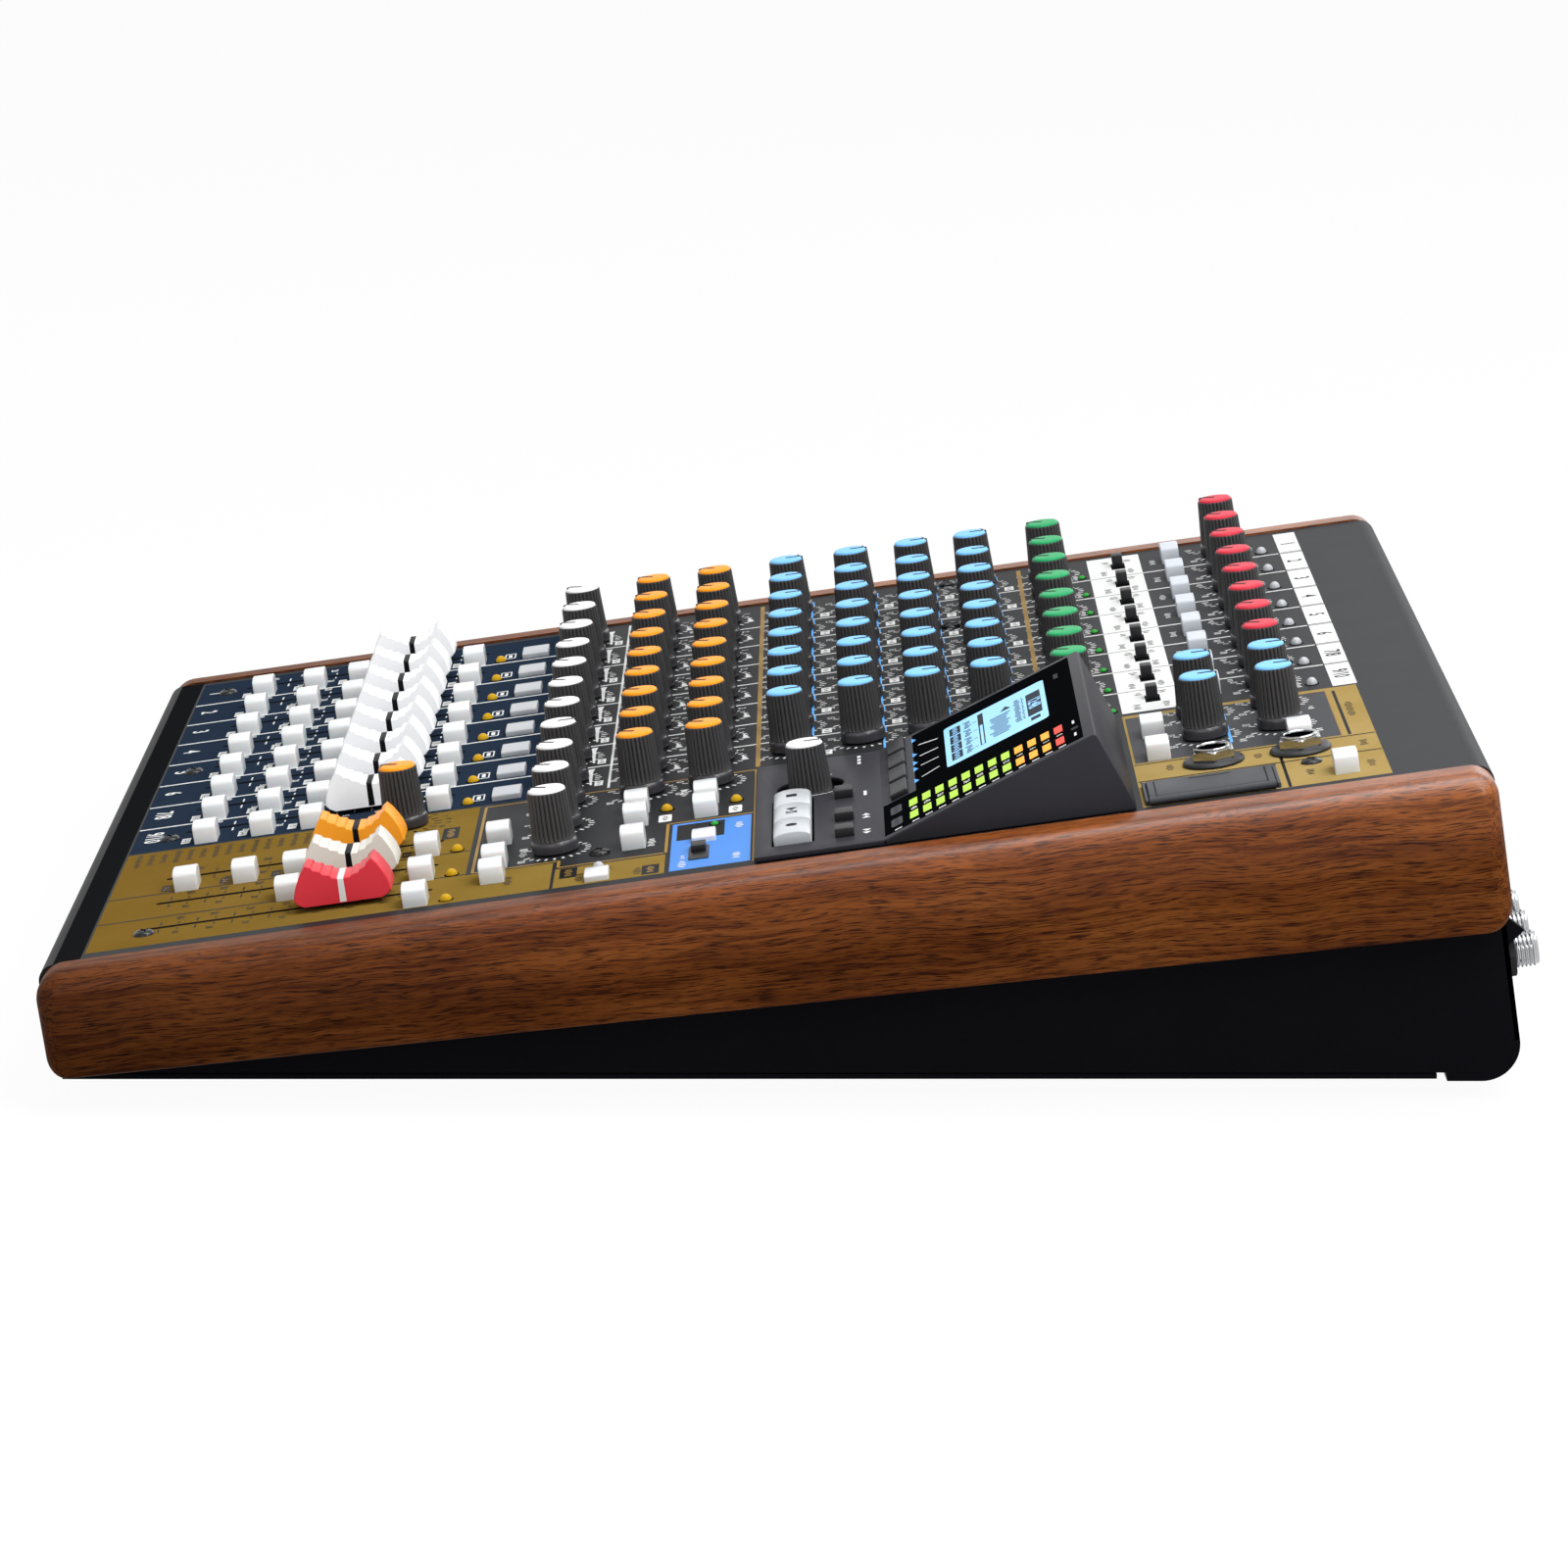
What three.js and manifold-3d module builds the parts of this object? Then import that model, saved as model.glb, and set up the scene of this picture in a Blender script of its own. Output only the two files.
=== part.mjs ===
// Compact mixing console: a sloping steel deck between two wooden side panels, with eight channel
// strips, four master strips, long faders, ribbed knobs, a display pod and a rear row of sockets.
// Deck frame: X across, Y along the slope from front to rear (s), Z square to the deck (n).
import * as THREE from 'three'
import { mergeGeometries, mergeVertices } from 'three/addons/utils/BufferGeometryUtils.js'
import Module from 'manifold-3d'

const wasm = await Module()
wasm.setup()

// Overall sizes, millimetres
const overallWidth = 343
const panelLength = 350
const deckSlope = THREE.MathUtils.degToRad(8.17)
const deckMidHeight = 57.6
const seatGap = 0.3
const runGap = 0.45
const cutOverrun = 2
const mergeTolerance = 0.0001

// Wooden side panels
const woodThickness = 12.1
const woodFrontDepth = 25.2
const woodRearDepth = 38.6
const woodProud = 0.5
const woodTopRadius = 6
const woodPlanRadius = 4.5
const woodEdgeBevel = 1.2
const woodFrontTopRadius = 7
const woodRearTopRadius = 6
const woodRearBottomRadius = 6.5
const woodFrontBottomRadius = 5

// Sheet steel: deck, chassis and bottom cover
const sheet = 1.2
const deckBendRadius = 4
const frontLipDepth = 23.5
const rearLipDepth = 9
const chassisBendRadius = 9
const flangeLength = 9.5
const flangeDrop = 0.6
const coverNotch = 2.4

// Feet
const footHeight = 5
const footRadius = 9.5
const footTaper = 1.2
const footInset = 36
const footEndInset = 32

// Printed field and its strips
const laneCount = 12
const fieldMargin = 6.7
const channelCount = 8

// Knobs
const knobHeight = 16.3
const knobSkirtRadius = 5.8
const knobSkirtHeight = 3
const knobFootRadius = 5.45
const knobTopRadius = 4.85
const fluteDepth = 0.4
const fluteCount = 8
const knobLift = 0.4
const shaftRadius = 3
const jogRise = 13.2

// Push buttons
const buttonWidth = 9
const buttonLength = 6
const buttonShoulder = 3.5
const buttonRise = 5.2
const buttonTravel = 1
const recordWidth = 10.2
const recordLength = 7.6
const recordRise = 1.6
const lowCutLength = 5.2

// Slide switches
const leverWidth = 4.4
const leverLength = 3
const leverRise = 3.4
const leverTravel = 3
const wellSink = 3

// Faders
const slotLength = 70.5
const slotWidth = 2
const capBaseLength = 19.8
const capLength = 23.8
const capPeakSpan = 16.4
const capBottom = 1.3
const capBulge = 3
const capDip = 7.2
const capPeak = 11.1
const capBottomWidth = 12.4
const capTopWidth = 9
const capLineWidth = 1.6
const capRidgeStep = 0.5
const leverArmThickness = 1
const leverArmLength = 4
const leverArmDepth = 6

// Boards under the deck
const boardThickness = 1.6
const boardDepth = 11
const boardSideMargin = 9.1
const boardEdge = 15
const potSide = 9.5
const potTop = 4.5
const boardPostRadius = 2.5
const slidePotWidth = 8
const slidePotTop = 3
const slidePotEnd = 3
const grooveDepth = 5

// Display pod
const podFlat = 1.6
const ridgeHeight = 19.9
const ridgeTopLength = 0.9
const podRearFoot = 1.3
const podWall = 2
const windowMargin = 2.6
const windowThickness = 1.5
const windowRidgeMargin = 1.92
const windowNotchLength = 9
const windowNotchMargin = 1.7
const windowLedge = 3
const displayBoardStart = 12
const displayBoardThickness = 1.2
const lcdWidth = 46
const lcdThickness = 2
const lcdEdge = 4.5
const lcdInset = 12
const jogRecessRadius = 8.4
const smallKeyWidth = 5.6
const smallKeyLength = 4.6
const smallKeyRise = 2.3
const softKeyGap = 2.8
const softKeyLength = 4.6
const softKeyRise = 1.4

// Transport keys
const transportSideMargin = 9.4
const transportKeyLength = 9.4
const transportKeyGap = 0.9
const transportKeyEdge = 3.2
const transportKeyCrown = 4.6
const keyTravel = 0.6
const transportKeyLift = keyTravel + seatGap

// Headphone sockets on the deck
const jackBoreRadius = 3.5
const jackBoreDepth = 14
const jackBodyDepth = 17
const jackBushingRadius = 4.6
const jackHoleClearance = 0.4
const jackFlangeRadius = 7.6
const jackFlangeTopRadius = 6.6
const jackFlangeHeight = 1.4
const jackNutRadius = 5.8
const jackNutHeight = 2.3
const jackRimHeight = 0.7

// Card door
const doorWidth = 18.4
const doorLength = 30.6
const doorThickness = 1.4
const doorLift = 0.5
const doorPodGap = 0.85
const doorBarrelRadius = 0.9
const doorFrameWidth = 2
const doorFrameRise = 1.8
const doorNotchLength = 12
const doorNotchWidth = 3
const cardSlotLength = 24.5
const cardSlotWidth = 2.5

// Rear sockets
const rearBoardSetback = 16
const rearBoardTop = 10
const rearBoardBottom = 60
const rearBoardInset = 4
const micCount = 6
const micDepth = 23
const micRadius = 11.3
const micHoleClearance = 0.4
const micBoreRadius = 9.4
const micBoreDepth = 10
const micProud = 0.8
const lineCount = 8
const lineDepth = 48.5
const lineBushingRadius = 4.4
const lineBushingReach = 6
const lineHoleClearance = 0.8
const lineBodySide = 12
const lineNutRadius = 6.4
const lineNutHeight = 1.6
const lineBoreRadius = 3.5
const lineBoreDepth = 14
const inletRadius = 5.2
const inletBoreRadius = 3.5
const inletBoreDepth = 9
const inletReach = 0.6
const dataWidth = 12
const dataHeight = 10.8
const dataWall = 1.2
const dataBoreDepth = 9
const hookDepth = 37.6
const hookWidth = 5
const hookHeight = 7
const hookReach = 2.6

// Power rocker
const rockerDepth = 48.5
const rockerWidth = 8.4
const rockerHeight = 12
const rockerBack = 4.6
const rockerFace = 1.4
const rockerPeak = 2.6
const rockerTilt = THREE.MathUtils.degToRad(7)
const rockerClearance = 1
const bezelWidth = 1.6
const bezelRise = 1.2

// Facets
const roundSides = 12
const socketSides = 10
const hexSides = 6
const shaftSides = 8
const plainKnobSides = 8
const bendSteps = 4

// Places along the slope, as shares of half the panel length
const halfPanel = panelLength / 2
const channelKnobs = [
  { name: 'pan', rowShare: -0.2926 },
  { name: 'aux_1', rowShare: -0.176 },
  { name: 'aux_2', rowShare: -0.0754 },
  { name: 'eq_low', rowShare: 0.0423 },
  { name: 'eq_mid_gain', rowShare: 0.1474 },
  { name: 'eq_mid_freq', rowShare: 0.2463 },
  { name: 'eq_high', rowShare: 0.3434 },
  { name: 'comp', rowShare: 0.4617 },
  { name: 'gain', rowShare: 0.744 }
]
const knobLaneShare = 0.5
const masterKnobs = [
  { name: 'level_1', lane: 8, rowShare: -0.2926 },
  { name: 'level_2', lane: 9, rowShare: -0.2926 },
  { name: 'level_3', lane: 10, rowShare: -0.2926 },
  { name: 'aux_master_1', lane: 8, rowShare: -0.176 },
  { name: 'aux_master_2', lane: 8, rowShare: -0.0754 },
  { name: 'master_eq_1', lane: 8, rowShare: 0.634 },
  { name: 'master_eq_2', lane: 9, rowShare: 0.634 },
  { name: 'master_eq_3', lane: 8, rowShare: 0.742 },
  { name: 'master_eq_4', lane: 9, rowShare: 0.742 },
  { name: 'effect_select', lane: 8, rowShare: -0.523 }
]
const jogLane = 9
const jogRowShare = 0.069
const buttonLaneShare = 0.81
const assignRowShares = [-0.8246, -0.7406, -0.6669]
const muteRowShare = -0.4789
const recordLaneShare = 0.725
const recordRowShare = -0.38
const lowCutRowShare = 0.66
const switchRowShare = 0.575
const switchLaneShare = 0.38
const faderLaneShare = 0.37
const slotRowShare = -0.661
const capRowShare = -0.5806
const faders = [
  { name: 'fx', lane: 9, color: '#f0a02c' },
  { name: 'sub', lane: 10, color: '#e4e1d8' },
  { name: 'main', lane: 11, color: '#c2303f' }
]
const masterButtons = [
  { laneShare: 9.81, rowShare: -0.8246 },
  { laneShare: 9.81, rowShare: -0.7406 },
  { laneShare: 9.81, rowShare: -0.6669 },
  { laneShare: 10.81, rowShare: -0.6669 },
  { laneShare: 9.81, rowShare: -0.4789 },
  { laneShare: 10.81, rowShare: -0.4789 },
  { laneShare: 11.81, rowShare: -0.4789 },
  { laneShare: 9.76, rowShare: -0.376 },
  { laneShare: 10.71, rowShare: -0.376 },
  { laneShare: 11.3, rowShare: -0.376 },
  { laneShare: 9.22, rowShare: -0.1805 },
  { laneShare: 9.77, rowShare: -0.1805 },
  { laneShare: 10.71, rowShare: -0.1805 },
  { laneShare: 9.23, rowShare: -0.0805 },
  { laneShare: 9.77, rowShare: -0.0805 },
  { laneShare: 10.8, rowShare: -0.0815 },
  { laneShare: 11.78, rowShare: -0.228 },
  { laneShare: 9.07, rowShare: 0.562 },
  { laneShare: 10.06, rowShare: 0.562 },
  { laneShare: 10.11, rowShare: 0.762 },
  { laneShare: 11.68, rowShare: 0.808 }
]
const phonesLaneShare = 10.64
const phonesRows = [
  { name: 'front', rowShare: 0.635 },
  { name: 'rear', rowShare: 0.757 }
]
const doorHingeLaneShare = 12.0709
const podLeftLaneShare = 8.3465
const podRightLaneShare = 12.1811
const podFrontShare = -0.00914
const podFoldShare = 0.17029
const podRidgeShare = 0.46857
const podRearShare = 0.51543
const boardJoinShare = -0.33143
const micFirstLaneShare = 0.5669
const micLaneShare = 1.1811
const lineFirstLaneShare = 11.9055
const lineLaneShare = 0.7874
const inletLaneShare = 0.4882
const dataLaneShare = 3.5591
const hookLaneShare = 11.9055
const rockerLaneShare = 1.5906
const transportFarShare = 0.4353
const transportRowShare = 0.0446
const smallKeyPlaces = [
  { widthShare: 0.466, lengthShare: 0.2397 },
  { widthShare: 0.7125, lengthShare: 0.2397 },
  { widthShare: 0.884, lengthShare: 0.2397 }
]
const softKeyShares = [0.0965, 0.2546, 0.4127, 0.5708]
const softKeyRowShare = 0.092
const capRidgeShares = [0.83, 0.56, 0.29]
const capCurvePower = 1.6
const capBulgeShares = [0.35, 0.7]
const boardPostShares = [-0.8, 0.02]

// Sizes that follow from the ones above
const bodyHalfWidth = overallWidth / 2 - woodThickness - seatGap
const laneWidth = 2 * (bodyHalfWidth - fieldMargin) / laneCount
const chassisFront = -halfPanel + sheet + seatGap
const chassisRear = halfPanel - sheet - seatGap
const wallTop = -sheet - seatGap
const wallFoot = footHeight + sheet + seatGap
const flangeBendS = chassisRear - chassisBendRadius
const flangeS = flangeBendS - flangeLength
const podLeft = laneX(podLeftLaneShare)
const podRight = laneX(podRightLaneShare)
const podFront = rowS(podFrontShare)
const foldPlace = rowS(podFoldShare)
const ridgePlace = rowS(podRidgeShare)
const podRear = rowS(podRearShare)
const wedgeAngle = Math.atan2(ridgeHeight - podFlat, ridgePlace - foldPlace)
const podWidth = podRight - podLeft
const podLength = podRear - podFront
const windowWidth = podWidth - 2 * windowMargin
const softKeyPitch = (softKeyShares[1] - softKeyShares[0]) * podWidth
const softKeyWidth = softKeyPitch - softKeyGap
const softKeyEnd = softKeyShares.at(-1) * podWidth + softKeyWidth / 2
const windowNotchWidth = softKeyEnd + windowNotchMargin - windowMargin
const windowLength = Math.hypot(ridgeHeight - podFlat, ridgePlace - foldPlace) - windowRidgeMargin
const displayBoardLength = windowLength - windowLedge - seatGap - displayBoardStart
const lcdLength = displayBoardLength - 2 * lcdEdge
const boardTop = -boardDepth
const boardHalfWidth = bodyHalfWidth - boardSideMargin
const boardJoin = rowS(boardJoinShare)
const doorHingePlace = laneX(doorHingeLaneShare)
const doorPlace = podRear + doorPodGap + doorFrameWidth + runGap + doorLength / 2
const micFirst = laneX(micFirstLaneShare)
const micPitch = micLaneShare * laneWidth
const lineFirst = laneX(lineFirstLaneShare)
const linePitch = lineLaneShare * laneWidth
const inletPlace = laneX(inletLaneShare)
const dataPlace = laneX(dataLaneShare)
const hookPlace = laneX(hookLaneShare)
const rockerPlace = laneX(rockerLaneShare)
const micBack = chassisRear - rearBoardSetback

// Place of a lane position across the deck, and of a row along it
function laneX(laneShare) {
  return (laneShare - laneCount / 2) * laneWidth
}

function rowS(rowShare) {
  return rowShare * halfPanel
}

// Deck-frame height of the level plane at a world height, above a place on the slope
function levelN(s, height) {
  return (height - deckMidHeight - s * Math.sin(deckSlope)) / Math.cos(deckSlope)
}

// World distance along the floor of that same point
function levelY(s, height) {
  return s * Math.cos(deckSlope) - levelN(s, height) * Math.sin(deckSlope)
}

// Geometry to solid and back
function solidOf(geometry) {
  const bare = new THREE.BufferGeometry()
  bare.setAttribute('position', geometry.getAttribute('position').clone())
  if (geometry.index) {
    bare.setIndex(geometry.index.clone())
  }
  const merged = mergeVertices(bare, mergeTolerance)
  const vertProperties = Float32Array.from(merged.getAttribute('position').array)
  const triVerts = Uint32Array.from(merged.index.array)
  return new wasm.Manifold(new wasm.Mesh({ numProp: 3, vertProperties, triVerts }))
}

function geometryOf(solid) {
  const mesh = solid.getMesh()
  const geometry = new THREE.BufferGeometry()
  geometry.setAttribute('position', new THREE.BufferAttribute(Float32Array.from(mesh.vertProperties), 3))
  geometry.setIndex(new THREE.BufferAttribute(Uint32Array.from(mesh.triVerts), 1))
  geometry.computeVertexNormals()
  return geometry
}

function join(first, ...others) {
  return others.reduce((whole, next) => whole.add(next), first)
}

function cut(first, ...tools) {
  return tools.reduce((whole, tool) => whole.subtract(tool), first)
}

function scattered(geometries) {
  const bare = geometries.map((geometry) => {
    const copy = geometry.index ? geometry.toNonIndexed() : geometry.clone()
    copy.deleteAttribute('normal')
    copy.deleteAttribute('uv')
    return copy
  })
  return solidOf(mergeGeometries(bare))
}

// Basic forms in the deck frame
function block(x0, x1, s0, s1, n0, n1) {
  const geometry = new THREE.BoxGeometry(x1 - x0, s1 - s0, n1 - n0)
  return geometry.translate((x0 + x1) / 2, (s0 + s1) / 2, (n0 + n1) / 2)
}

function blockAt(x, s, width, length, n0, n1) {
  return block(x - width / 2, x + width / 2, s - length / 2, s + length / 2, n0, n1)
}

function upright(x, n, width, height, s0, s1) {
  return block(x - width / 2, x + width / 2, s0, s1, n - height / 2, n + height / 2)
}

function post(x, s, radius, n0, n1, sides, topRadius = radius) {
  const geometry = new THREE.CylinderGeometry(topRadius, radius, n1 - n0, sides)
  return geometry.rotateX(Math.PI / 2).translate(x, s, (n0 + n1) / 2)
}

function barrel(x, n, radius, s0, s1, sides) {
  const geometry = new THREE.CylinderGeometry(radius, radius, s1 - s0, sides)
  return geometry.translate(x, (s0 + s1) / 2, n)
}

function outline(points) {
  return new THREE.Shape(points.map(([a, b]) => new THREE.Vector2(a, b)))
}

function extrude(shape, depth, steps = bendSteps, bevel = 0) {
  return new THREE.ExtrudeGeometry(shape, {
    depth: depth - 2 * bevel,
    curveSegments: steps,
    bevelEnabled: bevel > 0,
    bevelThickness: bevel,
    bevelSize: bevel,
    bevelOffset: -bevel,
    bevelSegments: 1
  }).translate(0, 0, bevel)
}

// A profile in (s, n) swept across from x0 to x1
function sweepAcross(shape, x0, x1, steps, bevel) {
  const turn = new THREE.Matrix4().makeBasis(
    new THREE.Vector3(0, 1, 0),
    new THREE.Vector3(0, 0, 1),
    new THREE.Vector3(1, 0, 0)
  )
  return extrude(shape, x1 - x0, steps, bevel).applyMatrix4(turn).translate(x0, 0, 0)
}

// A profile in (x, n) swept along the slope from s0 to s1
function sweepAlong(shape, s0, s1, steps) {
  const turn = new THREE.Matrix4().makeBasis(
    new THREE.Vector3(1, 0, 0),
    new THREE.Vector3(0, 0, 1),
    new THREE.Vector3(0, -1, 0)
  )
  return extrude(shape, s1 - s0, steps).applyMatrix4(turn).translate(0, s1, 0)
}

// A plan in (x, s) raised from n0 to n1
function raise(shape, n0, n1, steps) {
  return extrude(shape, n1 - n0, steps).translate(0, 0, n0)
}

// Rings of equal point counts, bottom to top, closed with a fan at each end
function ringSolid(rings) {
  const sides = rings[0].length
  const faces = []
  for (let level = 0; level < rings.length - 1; level += 1) {
    for (let side = 0; side < sides; side += 1) {
      const here = level * sides + side
      const next = level * sides + (side + 1) % sides
      faces.push(here, next, next + sides, here, next + sides, here + sides)
    }
  }
  const top = (rings.length - 1) * sides
  for (let side = 1; side < sides - 1; side += 1) {
    faces.push(0, side + 1, side)
    faces.push(top, top + side, top + side + 1)
  }
  const geometry = new THREE.BufferGeometry()
  const positions = rings.flat().flatMap((point) => point.toArray())
  geometry.setAttribute('position', new THREE.Float32BufferAttribute(positions, 3))
  geometry.setIndex(faces)
  return geometry
}

function ring(radius, height, sides, groove = 0) {
  return Array.from({ length: sides }, (_, side) => {
    const reach = side % 2 === 0 ? radius : radius - groove
    const angle = (side / sides) * 2 * Math.PI
    return new THREE.Vector3(reach * Math.cos(angle), reach * Math.sin(angle), height)
  })
}

// Scene graph
const mixingConsole = new THREE.Group()
const deck = new THREE.Group()
deck.rotation.x = deckSlope
deck.position.z = deckMidHeight
mixingConsole.add(deck)

function paint(color, roughness, metalness = 0) {
  return new THREE.MeshStandardMaterial({ color, roughness, metalness })
}

function place(parent, name, solid, material) {
  const mesh = new THREE.Mesh(solid instanceof THREE.BufferGeometry ? solid : geometryOf(solid), material)
  mesh.name = name
  parent.add(mesh)
  return mesh
}

// Fluted knob on a round skirt, with the shaft that turns with it
function knobSolid(rise, skirted = true) {
  const sides = fluteCount * 2
  const skirtTop = knobLift + knobSkirtHeight
  const skirt = [ring(knobSkirtRadius, knobLift, sides), ring(knobSkirtRadius, skirtTop, sides)]
  const body = ringSolid([
    ...(skirted ? skirt : []),
    ring(knobFootRadius, skirted ? skirtTop + seatGap : knobLift, sides, fluteDepth),
    ring(knobTopRadius, rise, sides, fluteDepth)
  ])
  const shaft = post(0, 0, shaftRadius, seatGap - potTop, knobLift + seatGap, shaftSides)
  return join(solidOf(body), solidOf(shaft))
}

// Plain tapered knob that stands fast in the deck
function plainKnob(x, s) {
  const body = ringSolid([
    ring(knobFootRadius, -sheet / 2, plainKnobSides),
    ring(knobTopRadius, knobHeight, plainKnobSides)
  ])
  return body.translate(x, s, 0)
}

// Push button with a crowned top
function pushForm(length, foot) {
  const edge = buttonWidth / 2
  const profile = outline([
    [-edge, foot],
    [edge, foot],
    [edge, buttonShoulder],
    [edge / 2, buttonRise],
    [-edge / 2, buttonRise],
    [-edge, buttonShoulder]
  ])
  return sweepAlong(profile, -length / 2, length / 2)
}

// Fader cap: a drafted block with convex ends and a ridged saddle, on a thin lever arm
function saddleHeight(share) {
  return capDip + (capPeak - capDip) * share ** capCurvePower
}

function faderCap() {
  const peakReach = capPeakSpan / 2
  const sideReach = capLength / 2
  const bulge = capBulgeShares.map((share) => [
    THREE.MathUtils.lerp(sideReach, peakReach, share * share),
    THREE.MathUtils.lerp(capBulge, capPeak, share)
  ])
  const ridges = capRidgeShares.flatMap((share) => [
    [share * peakReach, saddleHeight(share) - capRidgeStep / 2],
    [share * peakReach, saddleHeight(share) + capRidgeStep / 2]
  ])
  const right = [
    [capBaseLength / 2, capBottom],
    [sideReach, capBulge],
    ...bulge,
    [peakReach, capPeak],
    ...ridges,
    [capLineWidth / 2, capDip]
  ]
  const left = right.map(([s, n]) => [-s, n]).reverse()
  const side = sweepAcross(outline([...right, ...left]), -capBottomWidth / 2, capBottomWidth / 2)
  const drafted = outline([
    [-capBottomWidth / 2, capBottom - cutOverrun],
    [capBottomWidth / 2, capBottom - cutOverrun],
    [capBottomWidth / 2, capBottom],
    [capTopWidth / 2, capPeak],
    [capTopWidth / 2, capPeak + cutOverrun],
    [-capTopWidth / 2, capPeak + cutOverrun],
    [-capTopWidth / 2, capPeak],
    [-capBottomWidth / 2, capBottom]
  ])
  const body = solidOf(side).intersect(solidOf(sweepAlong(drafted, -capLength, capLength)))
  const arm = blockAt(0, 0, leverArmThickness, leverArmLength, -leverArmDepth, capBulge)
  return join(body, solidOf(arm))
}

// Deck plate: bent front and rear lips, slots and holes, and the fixed controls that stand in it
function deckProfile() {
  const shape = new THREE.Shape()
  const inner = deckBendRadius - sheet
  const bend = halfPanel - deckBendRadius
  shape.moveTo(-halfPanel, -frontLipDepth)
  shape.lineTo(-halfPanel + sheet, -frontLipDepth)
  shape.lineTo(-halfPanel + sheet, -deckBendRadius)
  shape.absarc(-bend, -deckBendRadius, inner, Math.PI, Math.PI / 2, true)
  shape.absarc(bend, -deckBendRadius, inner, Math.PI / 2, 0, true)
  shape.lineTo(halfPanel - sheet, -rearLipDepth)
  shape.lineTo(halfPanel, -rearLipDepth)
  shape.absarc(bend, -deckBendRadius, deckBendRadius, 0, Math.PI / 2, false)
  shape.absarc(-bend, -deckBendRadius, deckBendRadius, Math.PI / 2, Math.PI, false)
  return shape
}

function slit(x, s, width, length) {
  return blockAt(x, s, width, length, -sheet - cutOverrun, cutOverrun)
}

function slotHole(x) {
  return slit(x, rowS(slotRowShare), slotWidth, slotLength)
}

function roundHole(x, s, radius, sides = shaftSides) {
  return post(x, s, radius, -sheet - cutOverrun, cutOverrun, sides)
}

function squareHole(x, s, width, length) {
  return slit(x, s, width + 2 * runGap, length + 2 * runGap)
}

const lastChannel = channelCount - 1
const channelLanes = Array.from({ length: channelCount }, (_, lane) => lane)
const fixedLanes = channelLanes.slice(0, lastChannel)
const buttonX = laneX(lastChannel + buttonLaneShare)
const recordX = laneX(lastChannel + recordLaneShare)
const stripX = laneX(lastChannel + knobLaneShare)
const switchX = laneX(lastChannel + switchLaneShare)
const leverMiddle = switchX + leverTravel / 2
const doorS = doorPlace
const doorFar = doorHingePlace - doorWidth

function deckHoles() {
  const knobs = [
    ...channelKnobs.map((knob) => [stripX, rowS(knob.rowShare)]),
    ...masterKnobs.map((knob) => [laneX(knob.lane + knobLaneShare), rowS(knob.rowShare)]),
    [laneX(jogLane + knobLaneShare), rowS(jogRowShare)]
  ]
  const channelSlots = channelLanes.map((lane) => slotHole(laneX(lane + faderLaneShare)))
  const masterSlots = faders.map((fader) => slotHole(laneX(fader.lane + faderLaneShare)))
  const assign = assignRowShares.map((share) => squareHole(buttonX, rowS(share), buttonWidth, buttonLength))
  const phones = phonesRows.map((row) => {
    const radius = jackBushingRadius + jackHoleClearance
    return roundHole(laneX(phonesLaneShare), rowS(row.rowShare), radius, roundSides)
  })
  return scattered([
    ...knobs.map(([x, s]) => roundHole(x, s, shaftRadius + runGap)),
    ...channelSlots,
    ...masterSlots,
    ...assign,
    squareHole(buttonX, rowS(muteRowShare), buttonWidth, buttonLength),
    squareHole(recordX, rowS(recordRowShare), recordWidth, recordLength),
    squareHole(stripX, rowS(lowCutRowShare), buttonWidth, lowCutLength),
    squareHole(leverMiddle, rowS(switchRowShare), leverWidth + leverTravel, leverLength),
    ...phones,
    slit(doorHingePlace - doorWidth / 2, doorS, cardSlotWidth, cardSlotLength)
  ])
}

function fixedControls() {
  const foot = -sheet / 2
  const push = (laneShare, rowShare) =>
    pushForm(buttonLength, foot).translate(laneX(laneShare), rowS(rowShare), 0)
  const strips = fixedLanes.flatMap((lane) => {
    const x = laneX(lane + knobLaneShare)
    const switchS = rowS(switchRowShare)
    const switchPlace = laneX(lane + switchLaneShare)
    const recordPlace = laneX(lane + recordLaneShare)
    return [
      ...channelKnobs.map((knob) => plainKnob(x, rowS(knob.rowShare))),
      ...assignRowShares.map((share) => push(lane + buttonLaneShare, share)),
      push(lane + buttonLaneShare, muteRowShare),
      blockAt(recordPlace, rowS(recordRowShare), recordWidth, recordLength, foot, recordRise),
      pushForm(lowCutLength, foot).translate(x, rowS(lowCutRowShare), 0),
      blockAt(switchPlace, switchS, leverWidth, leverLength, foot, leverRise)
    ]
  })
  const masters = masterButtons.map((button) => push(button.laneShare, button.rowShare))
  return scattered([...strips, ...masters])
}

function doorFrame() {
  const near = doorHingePlace - doorBarrelRadius - runGap
  const far = doorFar - runGap
  const front = doorS - doorLength / 2 - runGap
  const rear = doorS + doorLength / 2 + runGap
  const foot = -sheet / 2
  const top = doorFrameRise
  const outer = block(far - doorFrameWidth, near, front - doorFrameWidth, rear + doorFrameWidth, foot, top)
  const inner = block(far, near + cutOverrun, front, rear, foot - cutOverrun, top + cutOverrun)
  return cut(solidOf(outer), solidOf(inner))
}

const deckPlate = sweepAcross(deckProfile(), -bodyHalfWidth, bodyHalfWidth)
const topPanel = join(cut(solidOf(deckPlate), deckHoles()), fixedControls(), doorFrame())
place(deck, 'top_panel', topPanel, paint('#2d2f33', 0.55, 0.3))

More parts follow.
